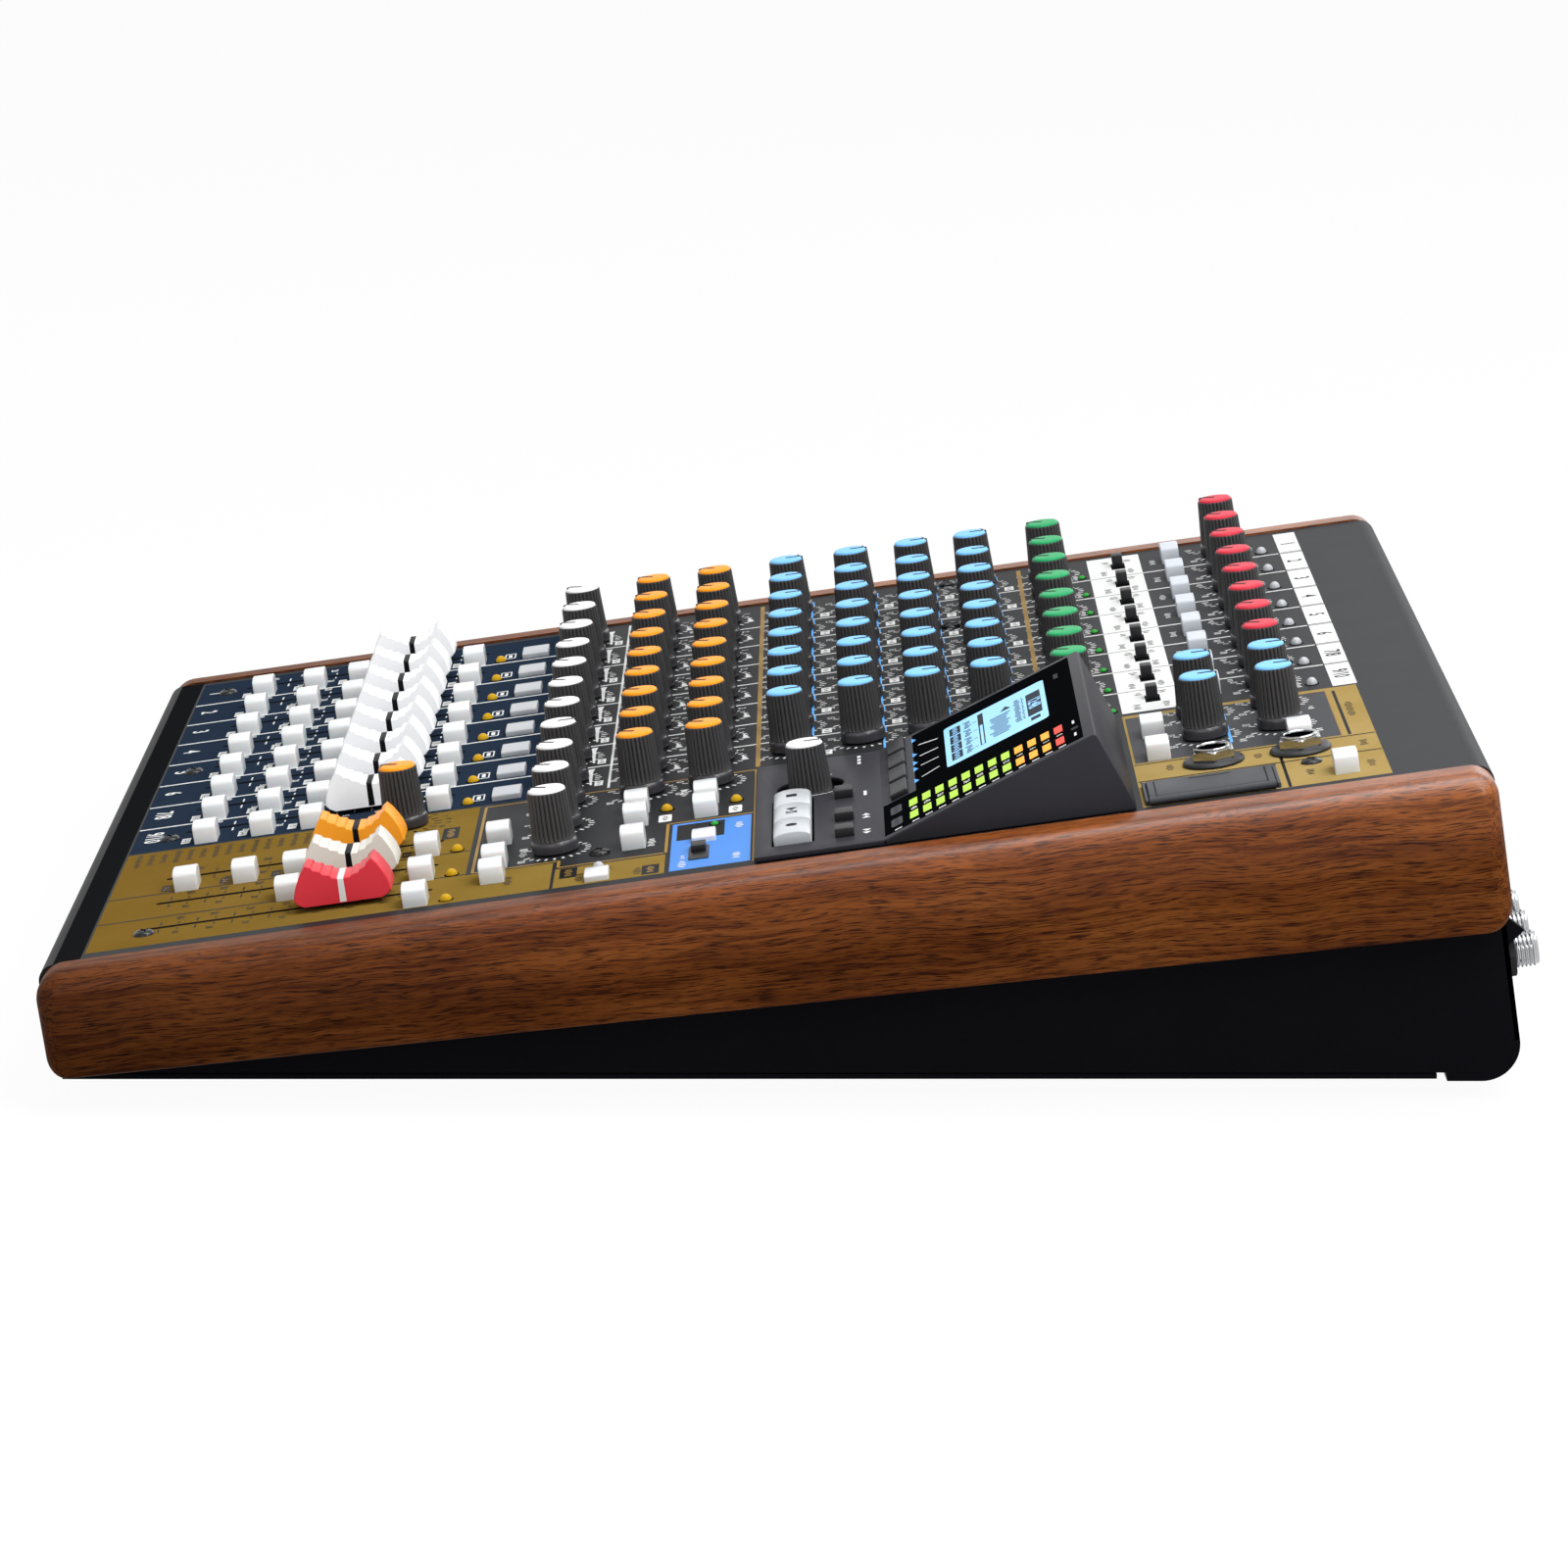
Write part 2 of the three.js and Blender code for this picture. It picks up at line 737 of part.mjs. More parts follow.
// Chassis: side, front and rear walls with a rounded foot flange at the rear
function chassisLower(inset, foot) {
  const shape = new THREE.Shape()
  const front = chassisFront + inset
  const bendN = levelN(flangeBendS, footHeight - flangeDrop + chassisBendRadius)
  shape.moveTo(front, levelN(front, foot))
  shape.lineTo(flangeS, levelN(flangeS, foot))
  shape.lineTo(flangeS, levelN(flangeS, footHeight - flangeDrop + inset))
  shape.absarc(flangeBendS, bendN, chassisBendRadius - inset, -Math.PI / 2 - deckSlope, 0, false)
  return shape
}

function chassisOutline() {
  const shape = chassisLower(0, wallFoot)
  const bend = halfPanel - deckBendRadius
  const radius = deckBendRadius - sheet - seatGap
  shape.absarc(bend, -deckBendRadius, radius, 0, Math.PI / 2, false)
  shape.absarc(-bend, -deckBendRadius, radius, Math.PI / 2, Math.PI, false)
  return shape
}

function chassisRoomOutline() {
  const shape = chassisLower(sheet, -cutOverrun)
  shape.lineTo(chassisRear - sheet, cutOverrun)
  shape.lineTo(chassisFront + sheet, cutOverrun)
  return shape
}

function rearHoles() {
  const s0 = chassisRear - sheet - cutOverrun
  const s1 = chassisRear + cutOverrun
  const mics = Array.from({ length: micCount }, (_, i) =>
    barrel(micFirst + i * micPitch, -micDepth, micRadius + micHoleClearance, s0, s1, socketSides)
  )
  const lines = Array.from({ length: lineCount }, (_, i) =>
    barrel(lineFirst - i * linePitch, -lineDepth, lineBushingRadius + lineHoleClearance, s0, s1, shaftSides)
  )
  const inlet = barrel(inletPlace, -lineDepth, inletRadius + micHoleClearance, s0, s1, socketSides)
  const rockerHole = [rockerWidth + 2 * runGap, rockerHeight + 2 * rockerClearance]
  const rocker = upright(rockerPlace, -rockerDepth, ...rockerHole, s0, s1)
  const dataHole = [dataWidth + 2 * micHoleClearance, dataHeight + 2 * micHoleClearance]
  const data = upright(dataPlace, -lineDepth, ...dataHole, s0, s1)
  return scattered([...mics, ...lines, inlet, rocker, data])
}

function rockerBezel() {
  const width = rockerWidth + 2 * runGap
  const height = rockerHeight + 2 * rockerClearance
  const s0 = chassisRear - sheet / 2
  const s1 = chassisRear + bezelRise
  const outer = upright(rockerPlace, -rockerDepth, width + 2 * bezelWidth, height + 2 * bezelWidth, s0, s1)
  const inner = upright(rockerPlace, -rockerDepth, width, height, s0 - cutOverrun, s1 + cutOverrun)
  return cut(solidOf(outer), solidOf(inner))
}

function cordHook() {
  const profile = outline([
    [chassisRear - sheet / 2, -hookDepth - hookHeight / 2],
    [chassisRear + hookReach, -hookDepth],
    [chassisRear - sheet / 2, -hookDepth + hookHeight / 2]
  ])
  return solidOf(sweepAcross(profile, hookPlace - hookWidth / 2, hookPlace + hookWidth / 2))
}

const chassisBlock = solidOf(sweepAcross(chassisOutline(), -bodyHalfWidth, bodyHalfWidth))
const chassisRoom = solidOf(sweepAcross(chassisRoomOutline(), sheet - bodyHalfWidth, bodyHalfWidth - sheet))
const chassis = join(cut(chassisBlock, chassisRoom, rearHoles()), rockerBezel(), cordHook())
place(deck, 'chassis', chassis, paint('#141518', 0.5, 0.4))

// Bottom cover, level, with the deck's turn undone
const floor = new THREE.Group()
mixingConsole.add(floor)
const coverFront = levelY(chassisFront, footHeight)
const coverRear = levelY(flangeS, footHeight) - coverNotch
const cover = block(-bodyHalfWidth, bodyHalfWidth, coverFront, coverRear, footHeight, footHeight + sheet)
place(floor, 'bottom_cover', cover, paint('#141518', 0.5, 0.4))

const footPlaces = [
  ['foot_front_left', -1, coverFront + footEndInset],
  ['foot_front_right', 1, coverFront + footEndInset],
  ['foot_rear_left', -1, coverRear - footEndInset],
  ['foot_rear_right', 1, coverRear - footEndInset]
]
footPlaces.forEach(([name, side, y]) => {
  const x = side * (bodyHalfWidth - footInset)
  const foot = post(x, y, footRadius - footTaper, 0, footHeight, roundSides, footRadius)
  place(floor, name, foot, paint('#1c1c1c', 0.9))
})

// Wooden side panels
function woodOutline() {
  const shape = new THREE.Shape()
  const top = woodProud
  const fall = Math.atan2(woodRearDepth - woodFrontDepth, panelLength)
  const frontBottomN = top - woodFrontDepth
  const rearBottomN = top - woodRearDepth
  const lift = woodFrontBottomRadius
  const rise = woodRearBottomRadius
  const frontSpread = lift * Math.tan((Math.PI / 2 + fall) / 2)
  const rearSpread = rise * Math.tan((Math.PI / 2 - fall) / 2)
  shape.moveTo(-halfPanel, frontBottomN + lift / Math.cos(fall) + lift * Math.tan(fall))
  shape.quadraticCurveTo(
    -halfPanel,
    frontBottomN,
    -halfPanel + frontSpread,
    frontBottomN - frontSpread * Math.tan(fall)
  )
  shape.lineTo(halfPanel - rearSpread, rearBottomN + rearSpread * Math.tan(fall))
  shape.quadraticCurveTo(halfPanel, rearBottomN, halfPanel, rearBottomN + rise)
  const rearCentre = halfPanel - woodRearTopRadius
  shape.absarc(rearCentre, top - woodRearTopRadius, woodRearTopRadius, 0, Math.PI / 2, false)
  const frontCentre = -halfPanel + woodFrontTopRadius
  shape.absarc(frontCentre, top - woodFrontTopRadius, woodFrontTopRadius, Math.PI / 2, Math.PI, false)
  return shape
}

function woodSection() {
  const shape = new THREE.Shape()
  const inner = bodyHalfWidth + seatGap
  const outer = overallWidth / 2
  const bottom = woodProud - woodRearDepth - cutOverrun
  shape.moveTo(inner, bottom)
  shape.lineTo(outer, bottom)
  shape.absarc(outer - woodTopRadius, woodProud - woodTopRadius, woodTopRadius, 0, Math.PI / 2, false)
  shape.lineTo(inner, woodProud)
  return shape
}

function woodPlan() {
  const shape = new THREE.Shape()
  const inner = bodyHalfWidth + seatGap - cutOverrun
  const outer = overallWidth / 2
  shape.moveTo(inner, -halfPanel)
  shape.absarc(outer - woodPlanRadius, -halfPanel + woodPlanRadius, woodPlanRadius, -Math.PI / 2, 0, false)
  shape.absarc(outer - woodPlanRadius, halfPanel - woodPlanRadius, woodPlanRadius, 0, Math.PI / 2, false)
  shape.lineTo(inner, halfPanel)
  return shape
}

function woodPanel() {
  const inner = bodyHalfWidth + seatGap
  const outer = overallWidth / 2
  const side = solidOf(sweepAcross(woodOutline(), inner - cutOverrun, outer, bendSteps, woodEdgeBevel))
  const section = solidOf(sweepAlong(woodSection(), -halfPanel - cutOverrun, halfPanel + cutOverrun))
  const plan = solidOf(raise(woodPlan(), woodProud - woodRearDepth - cutOverrun, woodProud + cutOverrun))
  return side.intersect(section).intersect(plan)
}

const rightWood = woodPanel()
place(deck, 'side_panel_right', rightWood, paint('#7a4526', 0.55))
place(deck, 'side_panel_left', rightWood.mirror([1, 0, 0]), paint('#7a4526', 0.55))

// Faders
function placeFader(name, lane, color) {
  const cap = place(deck, name, faderCap(), paint(color, 0.35))
  cap.position.set(laneX(lane + faderLaneShare), rowS(capRowShare), 0)
}
channelLanes.forEach((lane) => placeFader(`fader_channel_${lane + 1}`, lane, '#f2f2f0'))
faders.forEach((fader) => placeFader(`fader_${fader.name}`, fader.lane, fader.color))

// Knobs that turn
const knobPaint = () => paint('#1b1b1c', 0.6)
function placeKnob(name, laneShare, rowShare, solid) {
  const knob = place(deck, name, solid, knobPaint())
  knob.position.set(laneX(laneShare), rowS(rowShare), 0)
}
channelKnobs.forEach((knob) => {
  placeKnob(`knob_${knob.name}`, lastChannel + knobLaneShare, knob.rowShare, knobSolid(knobHeight))
})
masterKnobs.forEach((knob) => {
  placeKnob(`knob_${knob.name}`, knob.lane + knobLaneShare, knob.rowShare, knobSolid(knobHeight))
})
placeKnob('knob_jog', jogLane + knobLaneShare, jogRowShare, knobSolid(jogRise, false))

// Buttons and switch of the last channel strip
const buttonFoot = -sheet - cutOverrun
function placeButton(name, x, rowShare, geometry) {
  const button = place(deck, name, geometry, paint('#e9ecef', 0.35))
  button.position.set(x, rowS(rowShare), 0)
}
assignRowShares.forEach((share, i) => {
  placeButton(`button_assign_${i + 1}`, buttonX, share, pushForm(buttonLength, buttonFoot))
})
placeButton('button_mute', buttonX, muteRowShare, pushForm(buttonLength, buttonFoot))
const recordForm = blockAt(0, 0, recordWidth, recordLength, buttonFoot, recordRise)
placeButton('button_record', recordX, recordRowShare, recordForm)
placeButton('button_low_cut', stripX, lowCutRowShare, pushForm(lowCutLength, buttonFoot))
const leverForm = blockAt(0, 0, leverWidth, leverLength, -wellSink, leverRise)
placeButton('switch_input', switchX, switchRowShare, leverForm)

// Boards under the deck with their slide pots, rotary pots and switch bodies
function boardPosts(s0, s1) {
  return boardPostShares.flatMap((share) =>
    [s0 + boardPostRadius, s1 - boardPostRadius].map((s) =>
      post(share * boardHalfWidth, s, boardPostRadius, boardTop - boardThickness / 2, wallTop, shaftSides)
    )
  )
}

function rotaryPot(laneShare, rowShare) {
  const foot = boardTop - boardThickness / 2
  return blockAt(laneX(laneShare), rowS(rowShare), potSide, potSide, foot, -potTop)
}

function switchBody(x, s, width, length, travel = buttonTravel) {
  return blockAt(x, s, width, length, boardTop - boardThickness / 2, buttonFoot - seatGap - travel)
}

function slidePot(laneShare) {
  const x = laneX(laneShare)
  const s = rowS(slotRowShare)
  const length = slotLength + 2 * slidePotEnd
  const body = blockAt(x, s, slidePotWidth, length, boardTop - boardThickness / 2, -slidePotTop)
  const groove = blockAt(x, s, slotWidth, slotLength, -slidePotTop - grooveDepth, -slidePotTop + cutOverrun)
  return { body, groove }
}

const faderBoardFront = -halfPanel + boardEdge
const faderLanes = [...channelLanes, ...faders.map((fader) => fader.lane)]
const slidePots = faderLanes.map((lane) => slidePot(lane + faderLaneShare))
const faderBoardPlate = block(
  -boardHalfWidth,
  boardHalfWidth,
  faderBoardFront,
  boardJoin - seatGap,
  boardTop - boardThickness,
  boardTop
)
const faderBoardSwitches = [
  ...assignRowShares.map((share) => switchBody(buttonX, rowS(share), buttonWidth, buttonLength)),
  switchBody(buttonX, rowS(muteRowShare), buttonWidth, buttonLength),
  switchBody(recordX, rowS(recordRowShare), recordWidth, recordLength)
]
const effectKnob = masterKnobs.find((knob) => knob.name === 'effect_select')
const faderBoard = cut(
  join(
    solidOf(faderBoardPlate),
    scattered(slidePots.map((pot) => pot.body)),
    scattered(faderBoardSwitches),
    solidOf(rotaryPot(effectKnob.lane + knobLaneShare, effectKnob.rowShare)),
    scattered(boardPosts(faderBoardFront, boardJoin - seatGap))
  ),
  scattered(slidePots.map((pot) => pot.groove))
)
place(deck, 'fader_board', faderBoard, paint('#1d5a34', 0.6))

const controlBoardRear = micBack - boardEdge
const boardKnobs = masterKnobs.filter((knob) => knob !== effectKnob)
const controlPots = [
  ...channelKnobs.map((knob) => rotaryPot(lastChannel + knobLaneShare, knob.rowShare)),
  ...boardKnobs.map((knob) => rotaryPot(knob.lane + knobLaneShare, knob.rowShare)),
  rotaryPot(jogLane + knobLaneShare, jogRowShare)
]
const phonesClear = phonesRows.map((row) => {
  const foot = boardTop - 2 * boardThickness
  const top = boardTop + boardThickness
  return post(laneX(phonesLaneShare), rowS(row.rowShare), jackFlangeRadius, foot, top, roundSides)
})
const controlBoardPlate = block(
  -boardHalfWidth,
  boardHalfWidth,
  boardJoin,
  controlBoardRear,
  boardTop - boardThickness,
  boardTop
)
const controlBoard = cut(
  join(
    solidOf(controlBoardPlate),
    scattered(controlPots),
    solidOf(switchBody(stripX, rowS(lowCutRowShare), buttonWidth, lowCutLength)),
    solidOf(switchBody(leverMiddle, rowS(switchRowShare), leverWidth + leverTravel, leverLength, 0)),
    scattered(boardPosts(boardJoin, controlBoardRear))
  ),
  scattered(phonesClear)
)
place(deck, 'control_board', controlBoard, paint('#1d5a34', 0.6))

// Display pod: a flat key field that folds up into a wedge with a sunk window
const screen = new THREE.Group()
screen.position.set(podLeft, foldPlace, podFlat)
screen.rotation.x = wedgeAngle
deck.add(screen)
screen.updateMatrix()

function onSlope(geometry) {
  return geometry.applyMatrix4(screen.matrix)
}

function podShell() {
  const foot = seatGap
  const profile = outline([
    [podFront, foot],
    [podRear, foot],
    [podRear, podRearFoot],
    [ridgePlace + ridgeTopLength, ridgeHeight],
    [ridgePlace, ridgeHeight],
    [foldPlace, podFlat],
    [podFront, podFlat]
  ])
  const body = solidOf(sweepAcross(profile, podLeft, podRight, bendSteps, 0))
  const drop = podWall / Math.cos(wedgeAngle)
  const roomStart = foldPlace + (drop + windowThickness) / Math.tan(wedgeAngle)
  const room = outline([
    [roomStart, foot - cutOverrun],
    [podRear - 2 * podWall, foot - cutOverrun],
    [ridgePlace - podWall, ridgeHeight - drop - windowThickness],
    [roomStart, foot]
  ])
  const hollow = solidOf(sweepAcross(room, podLeft + podWall, podRight - podWall))
  return cut(body, hollow)
}

function windowOutline(margin) {
  const x0 = windowMargin - margin
  const x1 = windowMargin + windowWidth + margin
  const notchX = windowMargin + windowNotchWidth - margin
  const g0 = -margin
  const g1 = windowLength + margin
  const notchG = windowNotchLength - margin
  return outline([
    [notchX, g0],
    [x1, g0],
    [x1, g1],
    [x0, g1],
    [x0, notchG],
    [notchX, notchG]
  ])
}

const pocket = onSlope(raise(windowOutline(seatGap), -windowThickness - seatGap, cutOverrun))
const sight = onSlope(
  block(
    windowMargin + windowLedge,
    windowMargin + windowWidth - windowLedge,
    displayBoardStart - seatGap,
    windowLength - windowLedge,
    -windowThickness - podWall * 2,
    0
  )
)
const jogX = laneX(jogLane + knobLaneShare)
const jogHole = roundHole(jogX, rowS(jogRowShare), jogRecessRadius, roundSides)
const transportNames = ['key_stop', 'key_play', 'key_record']
const transportStart = podLeft + transportFarShare * podWidth
const transportWidth = podRight - transportSideMargin - transportStart
const keyPitch = (transportWidth + transportKeyGap) / transportNames.length
const transportKeyWidth = keyPitch - transportKeyGap
const transportS = rowS(transportRowShare)
const transportHole = block(
  transportStart - runGap,
  transportStart + transportWidth + runGap,
  transportS - transportKeyLength / 2 - runGap,
  transportS + transportKeyLength / 2 + runGap,
  -cutOverrun,
  podFlat + cutOverrun
)
const smallKeys = smallKeyPlaces.map((key) => {
  const x = podLeft + key.widthShare * podWidth
  const s = podFront + key.lengthShare * podLength
  return blockAt(x, s, smallKeyWidth, smallKeyLength, podFlat - sheet / 2, podFlat + smallKeyRise)
})
const softKeys = softKeyShares.map((share) => {
  const g = softKeyRowShare * windowLength
  return onSlope(blockAt(share * podWidth, g, softKeyWidth, softKeyLength, -sheet / 2, softKeyRise))
})
const pod = join(
  cut(podShell(), solidOf(pocket), solidOf(sight), solidOf(jogHole), solidOf(transportHole)),
  scattered([...smallKeys, ...softKeys])
)
place(deck, 'display_pod', pod, paint('#3a3b40', 0.5))
place(screen, 'display_window', raise(windowOutline(0), -windowThickness, 0), paint('#08090a', 0.1))

const lcd = block(
  windowMargin + lcdInset,
  windowMargin + lcdInset + lcdWidth,
  displayBoardStart + lcdEdge,
  displayBoardStart + lcdEdge + lcdLength,
  -windowThickness - seatGap - lcdThickness - displayBoardThickness / 2,
  -windowThickness - seatGap
)
const displayPlate = block(
  windowMargin + windowLedge + seatGap,
  windowMargin + windowWidth - windowLedge - seatGap,
  displayBoardStart,
  displayBoardStart + displayBoardLength,
  -windowThickness - seatGap - lcdThickness - displayBoardThickness,
  -windowThickness - seatGap - lcdThickness
)
place(screen, 'display_board', join(solidOf(displayPlate), solidOf(lcd)), paint('#9cc7e8', 0.3))

// Transport keys with tops arched along the slope
function transportKey() {
  const edge = transportKeyLength / 2
  const profile = outline([
    [-edge, transportKeyLift],
    [edge, transportKeyLift],
    [edge, transportKeyEdge],
    [edge / 2, transportKeyCrown],
    [-edge / 2, transportKeyCrown],
    [-edge, transportKeyEdge]
  ])
  return sweepAcross(profile, 0, transportKeyWidth)
}
transportNames.forEach((name, i) => {
  const key = place(deck, name, transportKey(), paint('#c9ccd0', 0.35))
  key.position.set(transportStart + i * keyPitch, transportS, 0)
})

// Headphone sockets
function phonesJack() {
  const bushing = post(0, 0, jackBushingRadius, -jackBodyDepth, jackFlangeHeight, roundSides)
  const flange = post(0, 0, jackFlangeRadius, seatGap, jackFlangeHeight, roundSides, jackFlangeTopRadius)
  const nutTop = jackFlangeHeight + jackNutHeight
  const nut = post(0, 0, jackNutRadius, jackFlangeHeight, nutTop, hexSides)
  const rim = post(0, 0, jackBushingRadius, jackFlangeHeight, nutTop + jackRimHeight, roundSides)
  const boreFoot = nutTop + jackRimHeight - jackBoreDepth
  const bore = post(0, 0, jackBoreRadius, boreFoot, nutTop + jackRimHeight + cutOverrun, roundSides)
  return cut(join(solidOf(bushing), solidOf(flange), solidOf(nut), solidOf(rim)), solidOf(bore))
}
phonesRows.forEach((row) => {
  const jack = place(deck, `phones_jack_${row.name}`, phonesJack(), paint('#cfd2d6', 0.25, 1))
  jack.position.set(laneX(phonesLaneShare), rowS(row.rowShare), 0)
})

// Card door, hinged along its outer edge
function cardDoor() {
  const top = doorLift + doorThickness
  const leaf = block(-doorWidth, 0, -doorLength / 2, doorLength / 2, doorLift, top)
  const notch = block(
    -doorWidth - cutOverrun,
    -doorWidth + doorNotchWidth,
    -doorNotchLength / 2,
    doorNotchLength / 2,
    doorLift + doorThickness / 2,
    top + cutOverrun
  )
  const pinHeight = doorLift + doorThickness / 2
  const pin = barrel(0, pinHeight, doorBarrelRadius, -doorLength / 2, doorLength / 2, shaftSides)
  return join(cut(solidOf(leaf), solidOf(notch)), solidOf(pin))
}
const door = place(deck, 'card_door', cardDoor(), paint('#53555a', 0.5))
door.position.set(doorHingePlace, doorS, 0)

// Rear socket board
function lineJack(x) {
  const n = -lineDepth
  const bodyEnd = chassisRear - sheet - seatGap
  const body = upright(x, n, lineBodySide, lineBodySide, micBack - boardThickness / 2, bodyEnd)
  const nutStart = chassisRear + seatGap
  const tip = halfPanel + lineBushingReach
  const bushing = barrel(x, n, lineBushingRadius, bodyEnd - cutOverrun, tip, socketSides)
  const nut = barrel(x, n, lineNutRadius, nutStart, nutStart + lineNutHeight, hexSides)
  const bore = barrel(x, n, lineBoreRadius, tip - lineBoreDepth, tip + cutOverrun, socketSides)
  return { solids: [body], rounds: [bushing], nuts: [nut], bores: [bore] }
}

function rearSocketBoard() {
  const start = micBack - boardThickness
  const edge = bodyHalfWidth - sheet - rearBoardInset
  const plate = block(-edge, edge, start, micBack, -rearBoardBottom, -rearBoardTop)
  const face = chassisRear + micProud
  const micXs = Array.from({ length: micCount }, (_, i) => micFirst + i * micPitch)
  const back = micBack - boardThickness / 2
  const mics = micXs.map((x) => barrel(x, -micDepth, micRadius, back, face, socketSides))
  const micBoreStart = face - micBoreDepth
  const micBores = micXs.map((x) =>
    barrel(x, -micDepth, micBoreRadius, micBoreStart, face + cutOverrun, socketSides)
  )
  const lines = Array.from({ length: lineCount }, (_, i) => lineJack(lineFirst - i * linePitch))
  const inletFace = chassisRear + inletReach
  const mouth = inletFace + cutOverrun
  const inlet = barrel(inletPlace, -lineDepth, inletRadius, back, inletFace, socketSides)
  const inletBoreStart = inletFace - inletBoreDepth
  const inletBore = barrel(inletPlace, -lineDepth, inletBoreRadius, inletBoreStart, mouth, socketSides)
  const data = upright(dataPlace, -lineDepth, dataWidth, dataHeight, back, inletFace)
  const dataBore = upright(
    dataPlace,
    -lineDepth,
    dataWidth - 2 * dataWall,
    dataHeight - 2 * dataWall,
    inletFace - dataBoreDepth,
    mouth
  )
  return cut(
    join(
      solidOf(plate),
      scattered([...mics, inlet, data, ...lines.flatMap((line) => line.solids)]),
      scattered(lines.flatMap((line) => line.rounds)),
      scattered(lines.flatMap((line) => line.nuts))
    ),
    scattered([...micBores, inletBore, dataBore, ...lines.flatMap((line) => line.bores)])
  )
}
place(deck, 'rear_socket_board', rearSocketBoard(), paint('#25272b', 0.5, 0.2))

// Power rocker, resting tilted to its off side
function rockerSolid() {
  const reach = rockerHeight / 2
  const profile = outline([
    [-rockerBack, -reach / 2],
    [-rockerBack, reach / 2],
    [-rockerFace, reach],
    [rockerPeak, reach],
    [rockerFace, 0],
    [rockerPeak, -reach],
    [-rockerFace, -reach]
  ].reverse())
  return sweepAcross(profile, -rockerWidth / 2, rockerWidth / 2).rotateX(rockerTilt)
}
const rocker = place(deck, 'power_rocker', rockerSolid(), paint('#101112', 0.4))
rocker.position.set(rockerPlace, chassisRear, -rockerDepth)

// The console stands centred over the origin
mixingConsole.updateMatrixWorld(true)
const middle = new THREE.Box3().setFromObject(mixingConsole, true).getCenter(new THREE.Vector3())
deck.position.y = -middle.y
floor.position.y = -middle.y

export default mixingConsole
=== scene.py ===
"""Looks of the compact mixing console, laid over its CAD frame in Blender."""
from math import atan2, cos, degrees, pi, radians, sin

import bmesh
import bpy
from mathutils import Matrix, Vector


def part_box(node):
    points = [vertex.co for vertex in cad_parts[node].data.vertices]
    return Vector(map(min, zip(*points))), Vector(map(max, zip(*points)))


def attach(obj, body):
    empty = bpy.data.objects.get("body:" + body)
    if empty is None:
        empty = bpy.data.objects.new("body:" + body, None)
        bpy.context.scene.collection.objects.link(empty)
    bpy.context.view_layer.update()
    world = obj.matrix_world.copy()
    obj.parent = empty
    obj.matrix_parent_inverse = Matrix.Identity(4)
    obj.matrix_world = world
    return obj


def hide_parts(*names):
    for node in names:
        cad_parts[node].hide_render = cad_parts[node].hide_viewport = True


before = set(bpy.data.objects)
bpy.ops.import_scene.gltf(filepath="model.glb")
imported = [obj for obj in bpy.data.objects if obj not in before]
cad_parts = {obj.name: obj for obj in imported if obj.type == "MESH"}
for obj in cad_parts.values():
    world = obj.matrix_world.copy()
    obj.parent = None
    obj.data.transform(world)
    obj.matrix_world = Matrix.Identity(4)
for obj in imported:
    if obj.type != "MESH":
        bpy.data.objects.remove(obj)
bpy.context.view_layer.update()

# ---- Sizes in millimetres, in the deck frame: x across, s up the slope, n square to the deck ----
SLOPE = radians(8.17)
DECK_HEIGHT = 57.6
DECK_SHIFT = -6.9952
HALF_PANEL = 175.0
BODY_HALF = 159.1
OUTER_HALF = 171.5
REAR = 173.5
SHEET = 1.2
LANE = 25.4
LANES = 12
CHANNELS = 8
FOLD, RIDGE = (29.8, 1.6), (82.0, 19.9)
POD_LEFT, POD_RIGHT = 59.6, 157.0
PRINT, LINE, OVER, TOP = 0.04, 0.045, 0.05, 0.055
ROOT = "console"

MM = Matrix.Scale(0.001, 4)
DECK = MM @ Matrix.Translation((0, DECK_SHIFT, DECK_HEIGHT)) @ Matrix.Rotation(SLOPE, 4, "X")
WEDGE = atan2(RIDGE[1] - FOLD[1], RIDGE[0] - FOLD[0])
SCREEN = DECK @ Matrix.Translation((POD_LEFT, *FOLD)) @ Matrix.Rotation(WEDGE, 4, "X")


def lane_x(share):
    """Middle of a place across the deck, counted in strips from the left."""
    return (share - LANES / 2) * LANE


def level_n(s, height):
    """Height in the deck frame of the level plane at a world height."""
    return (height - DECK_HEIGHT - s * sin(SLOPE)) / cos(SLOPE)


# ---- Materials ----
def srgb(code):
    """Linear colour of a hexadecimal screen colour."""
    parts = [int(code[i:i + 2], 16) / 255 for i in (1, 3, 5)]
    return [p / 12.92 if p <= 0.04045 else ((p + 0.055) / 1.055) ** 2.4 for p in parts] + [1]


def grey(value):
    return (value, value, value, 1)


def wire(tree, kind, inputs, output=0, **settings):
    """An output of a new node, whose inputs are linked where a socket is given and else set."""
    made = tree.nodes.new("ShaderNode" + kind)
    for key, value in settings.items():
        setattr(made, key, value)
    for key, value in inputs.items():
        if isinstance(value, bpy.types.NodeSocket):
            tree.links.new(value, made.inputs[key])
        else:
            made.inputs[key].default_value = value
    return made.outputs[output]


def shader(name, rough, **sockets):
    """A node material with its principled shader, and the coordinates that its patterns use."""
    mat = bpy.data.materials.new(name)
    mat.use_nodes = True
    tree = mat.node_tree
    bsdf = tree.nodes["Principled BSDF"]
    bsdf.inputs["Roughness"].default_value = rough
    for socket, value in sockets.items():
        bsdf.inputs[socket.replace("_", " ")].default_value = value
    return mat, tree, bsdf, wire(tree, "TexCoord", {}, "Object")


def noise(tree, coords, scale, detail=3.0, stretch=None, output="Fac"):
    """A noise texture, stretched along the axes if asked."""
    if stretch:
        coords = wire(tree, "Mapping", {"Vector": coords, "Scale": stretch})
    return wire(tree, "TexNoise", {"Vector": coords, "Scale": scale, "Detail": detail}, output)


